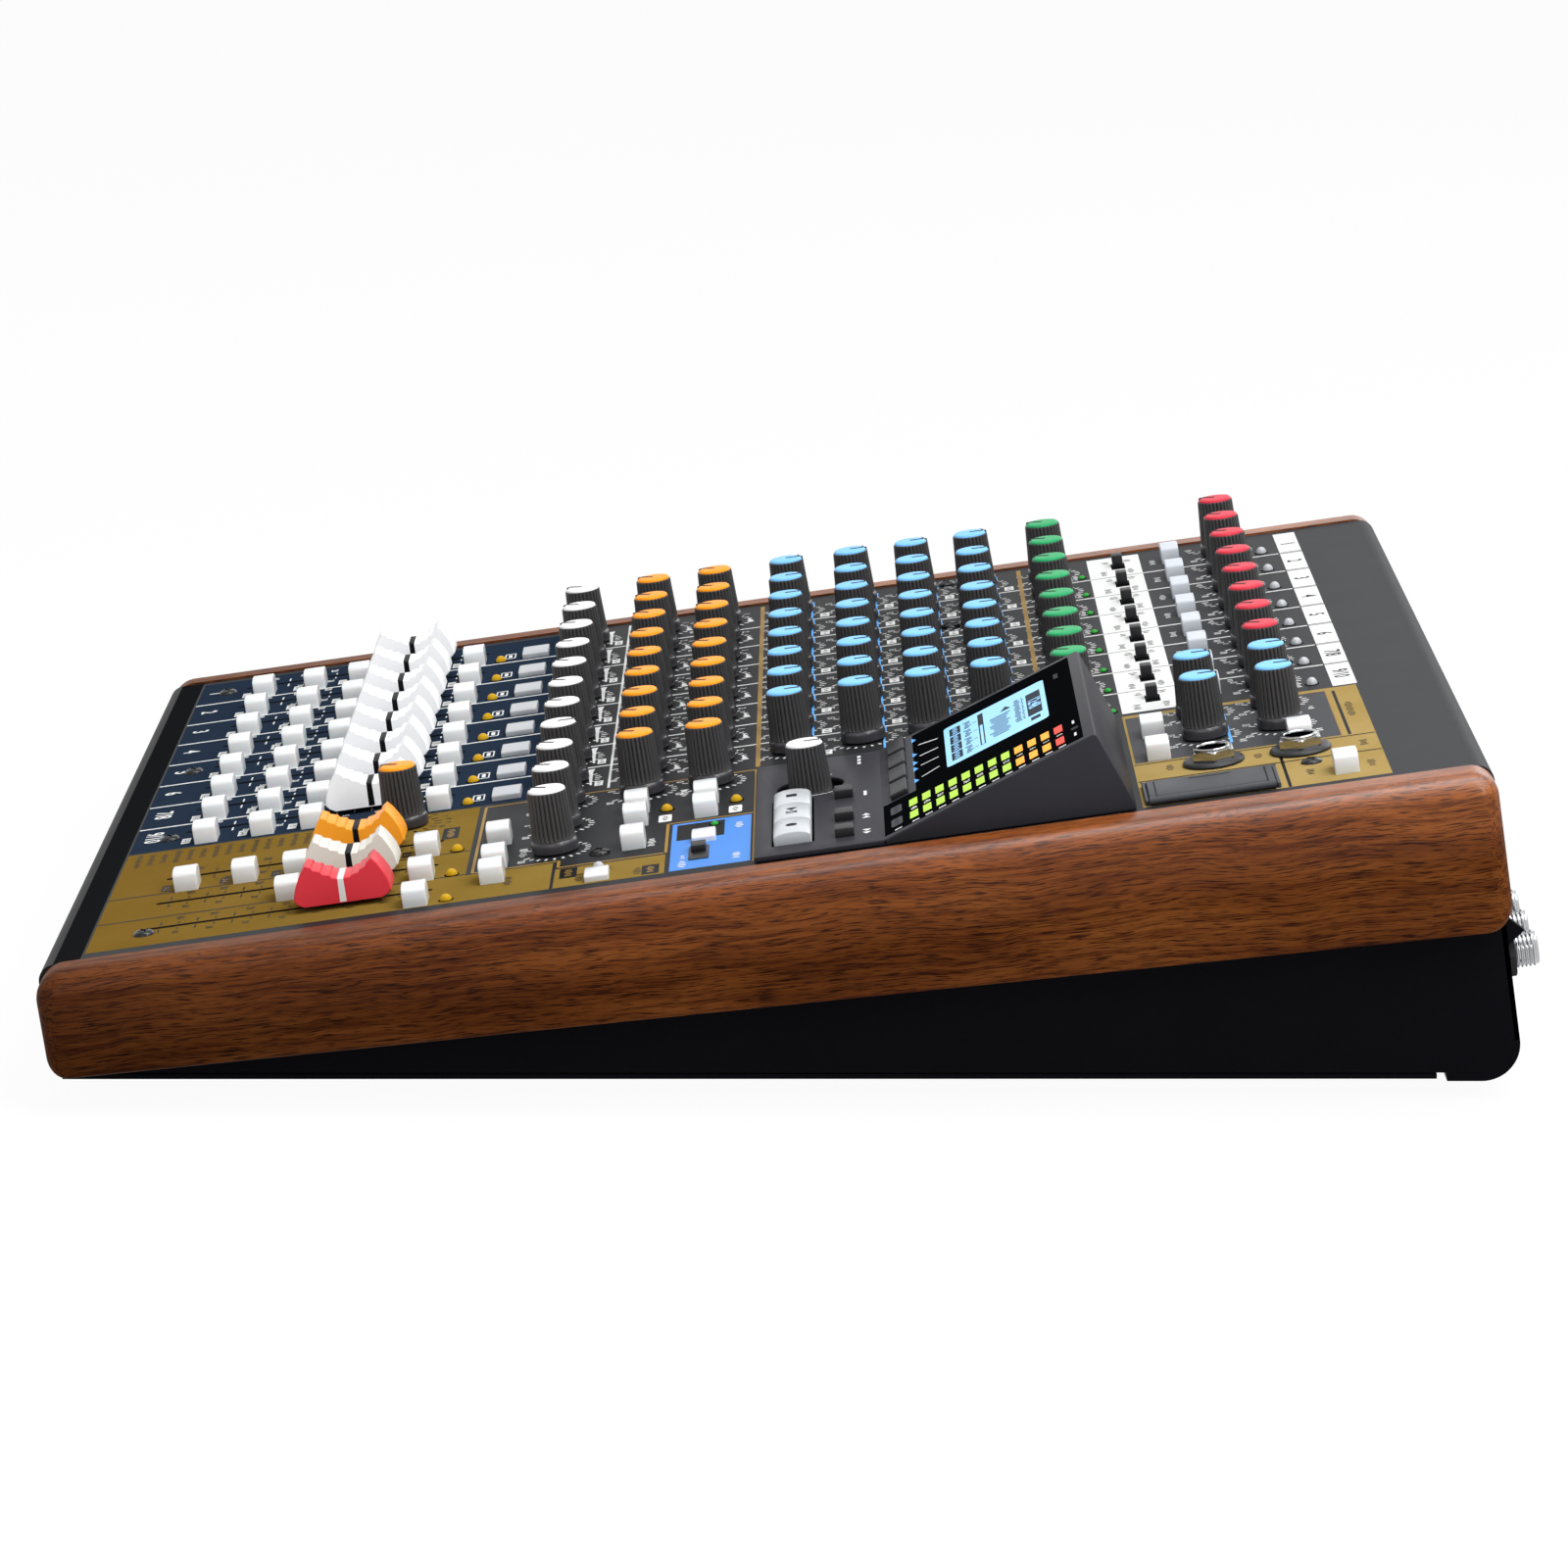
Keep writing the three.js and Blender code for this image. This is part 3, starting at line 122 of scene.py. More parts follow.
def ramp(tree, value, stops):
    """A colour ramp through (place, colour) stops."""
    colours = wire(tree, "ValToRGB", {"Fac": value})
    elements = colours.node.color_ramp.elements
    while len(elements) < len(stops):
        elements.new(0.5)
    for element, (place, colour) in zip(elements, stops):
        element.position, element.color = place, colour
    return colours


def multiplied(tree, colour, layer, share=1.0):
    """A colour darkened by a share of a layer."""
    inputs = {"Factor": share, "A": colour, "B": layer}
    return wire(tree, "Mix", inputs, "Result", data_type="RGBA", blend_type="MULTIPLY")


def along(tree, coords, direction, low, high):
    """The share of the way from low to high along a direction, in metres."""
    reach = wire(tree, "VectorMath", {0: coords, 1: direction}, "Value", operation="DOT_PRODUCT")
    return wire(tree, "MapRange", {"Value": reach, "From Min": low, "From Max": high})


def finish(tree, bsdf, colour, gloss, rough, relief, strength, depth):
    """Base colour, roughness that varies between two values, and relief with its depth in metres."""
    uneven = wire(tree, "MapRange", {"Value": gloss, "To Min": rough[0], "To Max": rough[1]})
    bump = wire(tree, "Bump", {"Height": relief, "Strength": strength, "Distance": depth})
    for value, socket in ((colour, "Base Color"), (uneven, "Roughness"), (bump, "Normal")):
        tree.links.new(value, bsdf.inputs[socket])


FRONT_TO_REAR = ((0, 1, 0), -0.17, 0.17)
FOOT_TO_TOP = ((0, -sin(SLOPE), cos(SLOPE)), 0.028, 0.0585)


def mottled(name, dark, light, rough, gloss, grain=900.0, depth=0.00002, stops=None, **sockets):
    """Slight mottling between two colours, uneven gloss, fine relief, and, if stops are given, painted light
    that darkens the colour toward the front of the deck.
    """
    mat, tree, bsdf, coords = shader(name, rough, Specular_IOR_Level=gloss, **sockets)
    mottle = noise(tree, coords, 60.0)
    colour = ramp(tree, mottle, [(0.3, dark), (0.7, light)])
    # Painted light: the stops darken the colour toward the front of the deck and leave the rear lightest.
    if stops:
        colour = multiplied(tree, colour, ramp(tree, along(tree, coords, *FRONT_TO_REAR), stops))
    fine = noise(tree, coords, grain, 2.0)
    finish(tree, bsdf, colour, mottle, (rough * 0.88, min(1, rough * 1.12)), fine, 0.25, depth)
    return mat


def finish_material(name, code, rough, gloss=0.3, vary=0.06, grain=900.0, depth=0.00002, **sockets):
    """A painted or moulded surface of one colour."""
    base = srgb(code)[:3]
    dark = [c * (1 - vary) for c in base] + [1]
    light = [min(1, c * (1 + vary)) for c in base] + [1]
    return mottled(name, dark, light, rough, gloss, grain, depth, **sockets)


def emitting(name, code, strength, rough=0.35):
    """A lit lamp or screen colour."""
    glow = {"Emission_Color": srgb(code), "Emission_Strength": strength}
    return finish_material(name, code, rough, 0.05, 0.04, **glow)


def wood_material():
    """Walnut film: fine dashes along the panel, broad figure, painted light and shade that darken it toward
    the front and down its side and leave the top lightest, and a coat that is glossier at the top.
    """
    mat, tree, bsdf, coords = shader("wood", 0.5, Specular_IOR_Level=0.02, Coat_Roughness=0.36)
    turned = wire(tree, "Mapping", {"Vector": coords, "Rotation": (-0.1, 0, 0)})
    drift = noise(tree, turned, 26.0, 2.0, output="Color")
    grain = wire(tree, "VectorMath", {0: drift, 1: (0.002, 0.0, 0.005), 2: turned}, operation="MULTIPLY_ADD")
    broad = noise(tree, grain, 60.0, 4.0, (1.0, 0.22, 1.0))
    bands = noise(tree, grain, 900.0, 4.0, (1.0, 0.035, 1.0))
    dashes = noise(tree, grain, 3900.0, 2.0, (1.0, 0.045, 1.0))
    rear = along(tree, coords, *FRONT_TO_REAR)
    rise = along(tree, coords, *FOOT_TO_TOP)
    tone = ramp(tree, broad, [(0.28, srgb("#7a3d16")), (0.5, srgb("#9a541f")), (0.72, srgb("#b96d31"))])
    for value, stops, share in (
        (bands, [(0.35, srgb("#9a7c68")), (0.55, grey(1.0))], 0.7),
        (dashes, [(0.38, srgb("#503629")), (0.48, grey(1.0))], 0.85),
        # The next two layers are painted light and shade: darker toward the front of the deck and down the
        # side, lightest on the top.
        (rear, [(0.0, grey(0.4)), (0.2, grey(0.54)), (0.4, grey(0.72)), (1.0, grey(0.85))], 1.0),
        (rise, [(0.0, grey(0.37)), (0.33, grey(0.42)), (0.79, grey(0.74)), (0.93, grey(1.0))], 1.0),
    ):
        tone = multiplied(tree, tone, ramp(tree, value, stops), share)
    polish = multiplied(
        tree, ramp(tree, rise, [(0.3, grey(0.05)), (0.79, grey(0.4)), (0.95, grey(1.0))]),
        ramp(tree, rear, [(0.0, grey(0.2)), (0.5, grey(0.55)), (0.9, grey(1.0))]),
    )
    tree.links.new(polish, bsdf.inputs["Coat Weight"])
    finish(tree, bsdf, tone, bands, (0.6, 0.45), dashes, 0.3, 0.00006)
    return mat


# Grain and its depth in metres
PAINTED, TEXTURED, SATIN = (2200.0, 0.00003), (1900.0, 0.00005), (1800.0, 0.00004)
FINISHES = {
    "margin": ("#151618", 0.45, 0.0, 0.05, *PAINTED),
    "chassis": ("#0a0a0e", 0.5, 0.02, 0.08, *PAINTED),
    "navy": ("#222d3c", 0.45, 0.0, 0.05),
    "gold_line": ("#8f7032", 0.4, 0.05, 0.05),
    "grey": ("#3c3d40", 0.42, 0.03, 0.05),
    "blue": ("#437fcc", 0.4, 0.08, 0.04),
    "sky": ("#5ba6ec", 0.4, 0.05, 0.03),
    "white": ("#d3d4d3", 0.45, 0.1, 0.03),
    "black": ("#0c0c0e", 0.45, 0.05, 0.1),
    "knob": ("#3c3b3c", 0.42, 0.35, 0.08, 1500.0, 0.00003),
    "knob_ring": ("#37363a", 0.26, 0.4, 0.08),
    "cap_white": ("#f2f2f1", 0.36, 0.2, 0.02),
    "cap_orange": ("#f4961f", 0.36, 0.1, 0.04),
    "cap_blue": ("#7abdf2", 0.36, 0.1, 0.03),
    "cap_green": ("#2c9a60", 0.38, 0.1, 0.05),
    "cap_red": ("#c93848", 0.38, 0.1, 0.05),
    "fader_white": ("#f3f4f6", 0.34, 0.3, 0.02, *SATIN),
    "fader_cream": ("#d6d2c9", 0.36, 0.3, 0.03, *SATIN),
    "fader_orange": ("#f0991f", 0.36, 0.2, 0.03, *SATIN),
    "fader_red": ("#cc2b38", 0.36, 0.2, 0.04, *SATIN),
    "grey_button": ("#c3c8d0", 0.3, 0.35, 0.03),
    "switch": ("#17171a", 0.42, 0.3, 0.1),
    "pod": ("#2d2d32", 0.42, 0.06, 0.04, *TEXTURED),
    "key": ("#b9bdc1", 0.28, 0.4, 0.03),
    "glass": ("#08090b", 0.2, 0.0, 0.1),
    "lcd_ink": ("#17232e", 0.4, 0.02),
    "led_clear": ("#a9acb0", 0.1, 0.5, 0.05),
    "door": ("#3f4145", 0.42, 0.1, 0.05, *TEXTURED),
    "rubber": ("#161616", 0.85, 0.1, 0.15, 700.0, 0.0002),
    "socket": ("#17171a", 0.42, 0.2, 0.1),
    # Near-black for painted shade inside holes, bores and recesses; it also colours the lamps' dark collars.
    "hole": ("#050505", 0.8, 0.0, 0.2),
    "board": ("#1d5a34", 0.5, 0.2, 0.1),
}
LIT_FINISHES = {
    "lcd": ("#8cc4ee", 0.25, 0.3),
    "lamp_green": ("#9dc83a", 0.35),
    "lamp_orange": ("#f09a1e", 0.35),
    "lamp_red": ("#e23b26", 0.35),
    "led_green": ("#2c8c35", 0.25, 0.2),
    "led_amber": ("#b8901a", 0.06, 0.12),
}
MAT = {
    "wood": wood_material(),
    # The deck's stops are painted light: darker at the front, lighter toward the rear.
    "deck": mottled(
        "deck", srgb("#2c2d2f"), srgb("#303134"), 0.45, 0.035,
        stops=[(0.1, grey(0.5)), (0.6, grey(0.65)), (0.95, grey(1.0))],
    ),
    # The gold's stops are painted light and reflection: darker and deeper at the front, lighter and paler
    # toward the rear.
    "gold": mottled(
        "gold", srgb("#937d4a"), srgb("#9b8555"), 0.38, 0.0,
        stops=[(0.05, (0.52, 0.43, 0.22, 1)), (0.28, (0.62, 0.56, 0.32, 1)), (0.8, grey(1.0))],
    ),
    "button": finish_material(
        "button", "#d9dcdd", 0.2, 0.5, 0.02, Subsurface_Weight=0.25, Subsurface_Scale=0.002
    ),
    "record": finish_material(
        "record", "#adb1b6", 0.26, 0.35, 0.04, Subsurface_Weight=0.2, Subsurface_Scale=0.002
    ),
    "chrome": finish_material("chrome", "#b9babc", 0.16, 0.5, 0.04, Metallic=1.0),
    "screw": finish_material("screw", "#1a1a1c", 0.2, 0.5, 0.1, Metallic=0.5),
}
MAT.update((key, finish_material(key, *values)) for key, values in FINISHES.items())
MAT.update((key, emitting(key, *values)) for key, values in LIT_FINISHES.items())


# ---- Forms ----
def polar(radius, angle, x=0.0, s=0.0):
    """Point at a radius and an angle in radians from a middle."""
    return (x + radius * cos(angle), s + radius * sin(angle))


def arc(x, s, radius, start, end, steps):
    """Points along an arc between two angles in degrees."""
    return [polar(radius, radians(start + (end - start) * i / steps), x, s) for i in range(steps + 1)]


def ring_of(x, s, radius, count):
    """Points evenly round a middle."""
    return arc(x, s, radius, 0, 360, count)[:-1]


def circle(radius, height, sides, groove=0.0, count=0):
    """A round of points; with a groove depth and count it is fluted."""
    points = []
    for i in range(sides):
        angle = 2 * pi * i / sides
        cut = groove * max(0.0, -0.25 - cos(angle * count)) / 0.75
        points.append((*polar(radius - cut, angle), height))
    return points


def lozenge(x, s, width, length, steps=6):
    """Outline of a slot with round ends."""
    radius = width / 2
    reach = length / 2 - radius
    return arc(x, s + reach, radius, 0, 180, steps) + arc(x, s - reach, radius, 180, 360, steps)


def oblong(x, s, width, length, radius=0.0, steps=4):
    """Outline of a rectangle, with round corners if asked."""
    half_w, half_l = width / 2, length / 2
    corners = ((-1, -1, 180), (1, -1, -90), (1, 1, 0), (-1, 1, 90))
    if not radius:
        return [(x + sx * half_w, s + ss * half_l) for sx, ss, start in corners]
    points = []
    for sx, ss, start in corners[1:] + corners[:1]:
        cx, cs = x + sx * (half_w - radius), s + ss * (half_l - radius)
        points += arc(cx, cs, radius, start, start + 90, steps)
    return points


class Form:
    """Points and faces that are gathered before they become one piece."""

    def __init__(self):
        self.points, self.faces, self.marks = [], [], []

    def add(self, points, faces, mark=0, place=None):
        start = len(self.points)
        if place is not None:
            points = [place @ Vector(p) for p in points]
        self.points.extend(tuple(p) for p in points)
        self.faces.extend([start + i for i in face] for face in faces)
        self.marks.extend([mark] * len(faces) if isinstance(mark, int) else mark)

    def absorb(self, form):
        """Takes in another form, with its marks."""
        self.add(form.points, form.faces, list(form.marks))
        return self

    def box(self, x0, x1, s0, s1, n0, n1, mark=0, place=None):
        points = [(x, s, n) for n in (n0, n1) for s in (s0, s1) for x in (x0, x1)]
        faces = [[0, 2, 3, 1], [4, 5, 7, 6], [0, 1, 5, 4], [2, 6, 7, 3], [0, 4, 6, 2], [1, 3, 7, 5]]
        self.add(points, faces, mark, place)

    def rings(self, rings, mark=0, place=None, start=True, end=True):
        """Skin over rings of equal point counts, closed at the ends if asked."""
        count = len(rings[0])
        last = (len(rings) - 1) * count
        faces = [
            [low + i, low + (i + 1) % count, low + count + (i + 1) % count, low + count + i]
            for low in range(0, last, count) for i in range(count)
        ]
        if start:
            faces.append(list(range(count))[::-1])
        if end:
            faces.append([last + i for i in range(count)])
        self.add([p for ring in rings for p in ring], faces, mark, place)

    def lathe(self, profile, sides, mark=0, place=None, start=True, end=True):
        """A profile of (radius, height) turned about the upright axis."""
        self.rings([circle(radius, height, sides) for radius, height in profile], mark, place, start, end)

    def tube(self, profile, sides, mark=0, place=None):
        """A turned profile that is open at both ends."""
        self.lathe(profile, sides, mark, place, False, False)

    def across(self, section, x0, x1, mark=0):
        """A closed section in (s, n) carried across from x0 to x1."""
        self.rings([[(x, s, n) for s, n in section] for x in (x1, x0)], mark)

    def flat(self, outline, n, mark=0):
        """A flat face through an outline of (x, s) points."""
        self.add([(x, s, n) for x, s in outline], [list(range(len(outline)))], mark)

    def stroke(self, x0, s0, x1, s1, width, n=PRINT, mark=0):
        """A printed line of even width."""
        run = Vector((x1 - x0, s1 - s0)).normalized() * width / 2
        dx, ds = -run.y, run.x
        self.flat([(x0 - dx, s0 - ds), (x1 - dx, s1 - ds), (x1 + dx, s1 + ds), (x0 + dx, s0 + ds)], n, mark)

    def patch(self, x, s, width, length, n=PRINT, mark=0):
        """A printed rectangle about its middle."""
        self.flat(oblong(x, s, width, length), n, mark)

    def dial(self, x, s, inner, outer, angles, width, mark):
        """Printed ticks at angles from straight up the slope, clockwise."""
        for angle in angles:
            a = radians(angle)
            self.stroke(
                x + inner * sin(a), s + inner * cos(a),
                x + outer * sin(a), s + outer * cos(a), width, PRINT, mark,
            )

    def rounded(self, radius, segments=3, limit=30.0):
        """The form with its sharp edges rounded."""
        bm = bmesh.new()
        verts = [bm.verts.new(p) for p in self.points]
        for face, mark in zip(self.faces, self.marks):
            bm.faces.new([verts[i] for i in face]).material_index = mark
        bmesh.ops.remove_doubles(bm, verts=bm.verts, dist=1e-5)
        bmesh.ops.recalc_face_normals(bm, faces=bm.faces)
        edges = [e for e in bm.edges if e.is_manifold and e.calc_face_angle(0) > radians(limit)]
        bmesh.ops.bevel(
            bm, geom=edges, offset=radius, segments=segments, profile=0.5, affect="EDGES", clamp_overlap=True
        )
        bm.verts.index_update()
        result = Form()
        result.points = [tuple(v.co) for v in bm.verts]
        result.faces = [[v.index for v in f.verts] for f in bm.faces]
        result.marks = [f.material_index for f in bm.faces]
        bm.free()
        return result


def filled(curve):
    """Points and faces of a curve's filled shape."""
    holder = bpy.data.objects.new(curve.name, curve)
    data = bpy.data.meshes.new_from_object(holder)
    points, faces = [tuple(v.co) for v in data.vertices], [list(p.vertices) for p in data.polygons]
    bpy.data.objects.remove(holder)
    bpy.data.curves.remove(curve)
    bpy.data.meshes.remove(data)
    return points, faces


def plate(outline, holes, n0, n1, mark=0):
    """A flat plate with holes, from outlines of (x, s) points."""
    curve = bpy.data.curves.new("plate", "CURVE")
    curve.dimensions = "2D"
    curve.fill_mode = "BOTH"
    curve.extrude = (n1 - n0) / 2
    for loop in [outline] + holes:
        spline = curve.splines.new("POLY")
        spline.points.add(len(loop) - 1)
        for point, (x, s) in zip(spline.points, loop):
            point.co = (x, s, 0, 1)
        spline.use_cyclic_u = True
    points, faces = filled(curve)
    form = Form()
    form.add([(x, s, n + (n0 + n1) / 2) for x, s, n in points], faces, mark)
    return form


GLYPHS = {}


def number(form, text, x, s, size, n=PRINT, mark=0):
    """A printed number about its middle."""
    if text not in GLYPHS:
        curve = bpy.data.curves.new("number", "FONT")
        curve.body = text
        curve.align_x = curve.align_y = "CENTER"
        curve.resolution_u = 3
        curve.offset = 0.022
        GLYPHS[text] = filled(curve)
    points, faces = GLYPHS[text]
    form.add(points, faces, mark, Matrix.Translation((x, s, n)) @ Matrix.Scale(size, 4))


def shared(name, form, mats, crease=35.0, matrix=None):
    """A mesh with its materials, in metres where a matrix is given and else in millimetres."""
    data = bpy.data.meshes.new(name)
    points = [tuple(matrix @ Vector(p)) for p in form.points] if matrix else form.points
    data.from_pydata(points, [], form.faces)
    data.polygons.foreach_set("material_index", form.marks)
    data.shade_smooth()
    data.set_sharp_from_angle(angle=radians(crease))
    data.validate()
    data.update()
    for key in mats:
        data.materials.append(MAT[key])
    return data


def set_down(name, data, body, replaces, matrix=None):
    """A piece that rides on a body and the nodes that it replaces."""
    obj = bpy.data.objects.new(name, data)
    bpy.context.scene.collection.objects.link(obj)
    if matrix:
        obj.matrix_world = matrix
    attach(obj, body)
    if replaces:
        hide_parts(*replaces)


def piece(name, form, mats, replaces=(), crease=35.0, matrix=DECK):
    """A piece of the console that is made in its place."""
    set_down(name, shared(name, form, mats, crease, matrix), ROOT, replaces)


def copy_at(name, data, x, s, body=ROOT, replaces=(), n=0.0, turn=0.0):
    """A repeat of a mesh in deck millimetres, turned about the deck's normal."""
    matrix = DECK @ Matrix.Translation((x, s, n)) @ Matrix.Rotation(turn, 4, "Z")
    set_down(name, data, body, replaces, matrix)


# ---- Rows and columns of the control surface ----
# Name, row and cap colour of the knobs, and the strip of those in the master section
CHANNEL_ROWS = [
    ("pan", -51.2, "white"), ("aux_1", -30.8, "orange"), ("aux_2", -13.2, "orange"), ("eq_low", 7.4, "blue"),
    ("eq_mid_gain", 25.8, "blue"), ("eq_mid_freq", 43.1, "blue"), ("eq_high", 60.1, "blue"),
    ("comp", 80.8, "green"), ("gain", 130.2, "red"),
]
MASTER_KNOBS = [
    ("level_1", 8, -51.2, "white"), ("level_2", 9, -51.2, "white"), ("level_3", 10, -51.2, "white"),
    ("aux_master_1", 8, -30.8, "orange"), ("aux_master_2", 8, -13.2, "orange"),
    ("master_eq_1", 8, 110.95, "blue"), ("master_eq_2", 9, 110.95, "blue"),
    ("master_eq_3", 8, 129.85, "blue"), ("master_eq_4", 9, 129.85, "blue"),
    ("effect_select", 8, -91.5, "orange"),
]
TURN_LIMIT = 150  # Degrees to either side of straight up the slope
BUTTON_SHARE = 0.81
ASSIGN_ROWS = (-144.3, -129.6, -116.7)
MUTE_ROW = -83.8
RECORD_ROW, RECORD_SHARE = -66.5, 0.725
LOW_CUT_ROW = 115.5
SWITCH_ROW, SWITCH_SHARE = 100.6, 0.38
FADER_SHARE, SLOT_MIDDLE, SLOT_LENGTH, CAP_ROW = 0.37, -115.7, 70.5, -101.6
MASTER_BUTTONS = [
    (9.81, -144.3), (9.81, -129.6), (9.81, -116.7), (10.81, -116.7), (9.81, -83.8), (10.81, -83.8),
    (11.81, -83.8), (9.76, -65.8), (10.71, -65.8), (11.3, -65.8), (9.22, -31.6), (9.77, -31.6),
    (10.71, -31.6), (9.23, -14.1), (9.77, -14.1), (10.8, -14.3), (11.78, -39.9), (9.07, 98.4),
    (10.06, 98.4), (10.11, 133.4), (11.68, 141.4),
]
LOW_PLACES = [(10.8, -14.3), (11.78, -39.9)]  # The master buttons that stand lower
FADER_LANES = list(range(CHANNELS)) + [9, 10, 11]
CHANNEL_NAMES = ["1", "2", "3", "4", "5", "6", "7/8", "9/10"]
LEFT_EDGE, STRIPS_EDGE = -155.4, 52.0
PHONES_X = lane_x(10.64)


# ---- Knobs ----
def knob_form(rise, skirted=True):
    """Fluted tapered body over a smooth glossy skirt, with a coloured cap, a black pointer that is the dark
    body in its slot deepened by painted groove shade, and a painted shade arc on the cap's rim.
    """
    sides, flutes = 168, 28
    wide, narrow = 5.45, 4.85
    foot = 3.3 if skirted else 0.4
    form = Form()
    if skirted:
        skirt = [(5.5, 0.35), (5.78, 0.5), (5.85, 0.9), (5.82, 2.3), (5.74, 2.75), (5.55, 3.1), (5.25, 3.4)]
        form.lathe(skirt, 64, 1)
    stations = [(foot, 0.0, wide - 0.15), (foot + 0.2, 0.1, wide), (foot + 0.45, 0.5, wide - 0.02)]
    for i in range(1, 5):
        share = i / 5
        stations.append((foot + (rise - 0.7 - foot) * share, 0.5, wide + (narrow - wide) * share))
    stations += [(rise - 1.3, 0.46, narrow + 0.05), (rise - 0.95, 0.2, narrow + 0.02)]
    stations += [(rise - 0.8, 0.0, narrow - 0.08), (rise - 0.78, 0.0, 4.6), (rise - 1.0, 0.0, 4.5)]
    form.rings([circle(radius, n, sides, groove, flutes) for n, groove, radius in stations])
    cap = ((4.62, 1.0), (4.62, 0.62), (4.52, 0.36), (4.25, 0.14), (3.7, 0.03), (2.2, 0.01), (0.2, 0.01))
    form.lathe([(radius, rise - drop) for radius, drop in cap], 56, 2)
    # The black pointer block is the dark body in the pointer's slot, made darker as painted groove shade.
    form.box(-0.6, 0.6, 0.0, 3.9, rise - 0.5, rise + 0.015, 3)
    form.box(-0.6, 0.6, 3.7, 4.8, rise - 1.4, rise - 0.12, 3)
    # Painted shade: a dark arc on the cap's rim beside the pointer's end.
    rim_shade = [(radians(94 + i * 5.5), 0.55 * (1 - i / 9)) for i in range(8)]
    for (a, wa), (b, wb) in zip(rim_shade, rim_shade[1:]):
        outline = [polar(4.15 - wa, a), polar(4.2, a), polar(4.2, b), polar(4.15 - wb, b)]
        form.flat(outline, rise + 0.005, 3)
    return form


KNOB_TOP, JOG_TOP = 16.28, 13.18
KNOBS = {
    colour: shared(f"knob_{colour}", knob_form(KNOB_TOP), ["knob", "knob_ring", f"cap_{colour}", "black"])
    for colour in ("white", "orange", "blue", "green", "red")
}


def place_knob(name, colour, lane, s, body=ROOT):
    """A knob that points up where it is blue or the moving pan knob, and else to the low end of its turn."""
    replaces = [] if body == ROOT else [body]
    turn = 0.0 if colour == "blue" or body == "knob_pan" else radians(TURN_LIMIT)
    copy_at(name, KNOBS[colour], lane_x(lane + 0.5), s, body, replaces, turn=turn)


for row, s, colour in CHANNEL_ROWS:
    for lane in range(CHANNELS - 1):
        place_knob(f"channel_{lane + 1}_{row}_knob", colour, lane, s)
    place_knob(f"strip_{row}_knob", colour, CHANNELS - 1, s, f"knob_{row}")
for row, lane, s, colour in MASTER_KNOBS:
    place_knob(f"master_{row}_knob", colour, lane, s, f"knob_{row}")
JOG = shared("knob_jog_mesh", knob_form(JOG_TOP, False), ["knob", "knob_ring", "cap_white", "black"])
copy_at("jog_knob", JOG, lane_x(9.5), 12.08, "knob_jog", ["knob_jog"])

# ---- Fader caps: drafted block with arched ends and a ridged saddle, outline in (s, n) ----
CAP_FRONT = [
    (-9.7, 1.3), (-11.2, 2.1), (-11.9, 3.0), (-11.75, 4.3), (-11.2, 6.1), (-10.3, 8.0), (-9.2, 9.8),
    (-8.2, 11.1), (-6.95, 10.55), (-6.75, 9.95), (-4.75, 9.35), (-4.55, 8.75), (-2.55, 8.35),
    (-2.35, 7.75), (-0.8, 7.35),
]
CAP_REAR = [
    (0.8, 7.35), (2.5, 7.25), (2.85, 7.7), (4.75, 8.1), (5.1, 8.75), (6.6, 9.3), (6.95, 10.15), (8.2, 11.1),
    (9.3, 9.8), (10.4, 8.0), (11.3, 6.1), (11.8, 4.3), (11.9, 3.0), (11.2, 2.1), (9.7, 1.3),
]
CAP_SHARES = ((-1.0, 0.34), (-0.955, 0.08), (-0.88, 0.0), (0.88, 0.0), (0.955, 0.08), (1.0, 0.34))


def cap_width(n):
    """Half width of a fader cap at a height."""
    return 6.2 + (4.55 - 6.2) * max(0.0, (n - 3.0) / 8.1)


def fader_form():
    """Skin over shrinking outlines, end faces down to the foot, and the arm that goes through the slot."""
    outline = CAP_FRONT + CAP_REAR
    line, count = len(CAP_FRONT) - 1, len(outline)
    centre = Vector((0, 4.5))
    points, faces, marks = [], [], []
    for share, drop in CAP_SHARES:
        for s, n in outline:
            inward = (centre - Vector((s, n))).normalized() * drop
            points.append((cap_width(n) * share, s + inward.x, n + inward.y))
    last = len(points) - count
    for i in range(0, last, count):
        for j in range(count):
            k = (j + 1) % count
            faces.append([i + j, i + count + j, i + count + k, i + k])
            marks.append(1 if j == line else 0)
    form = Form()
    form.add(points, faces, marks)
    for base, share in ((0, -1.0), (last, 1.0)):
        start = len(form.points)
        form.points.extend((cap_width(1.3) * share, s, 1.6) for s in (-0.8, 0.8))
        first = [base + j for j in range(line + 1)] + [start]
        second = [start + 1] + [base + j for j in range(line + 1, count)]
        strip = [base + line, base + line + 1, start + 1, start]
        foot = [base, start, start + 1, base + count - 1]
        form.faces.extend(face if base else face[::-1] for face in (first, second, strip, foot))
        form.marks.extend([0, 0, 1, 0])
    form.box(-0.5, 0.5, -2, 2, -5.9, 3.0, 2)
    return form


FADER_MESHES = {
    colour: shared(f"fader_{colour}", fader_form(), [f"fader_{colour}", line, "chrome"], 28.0)
    for colour, line in (("white", "black"), ("orange", "black"), ("cream", "black"), ("red", "white"))
}
MASTER_FADERS = {9: ("fader_fx", "orange"), 10: ("fader_sub", "cream"), 11: ("fader_main", "red")}
for lane in FADER_LANES:
    body, colour = MASTER_FADERS.get(lane, (f"fader_channel_{lane + 1}", "white"))
    copy_at(f"{body}_cap", FADER_MESHES[colour], lane_x(lane + FADER_SHARE), CAP_ROW, body, [body])


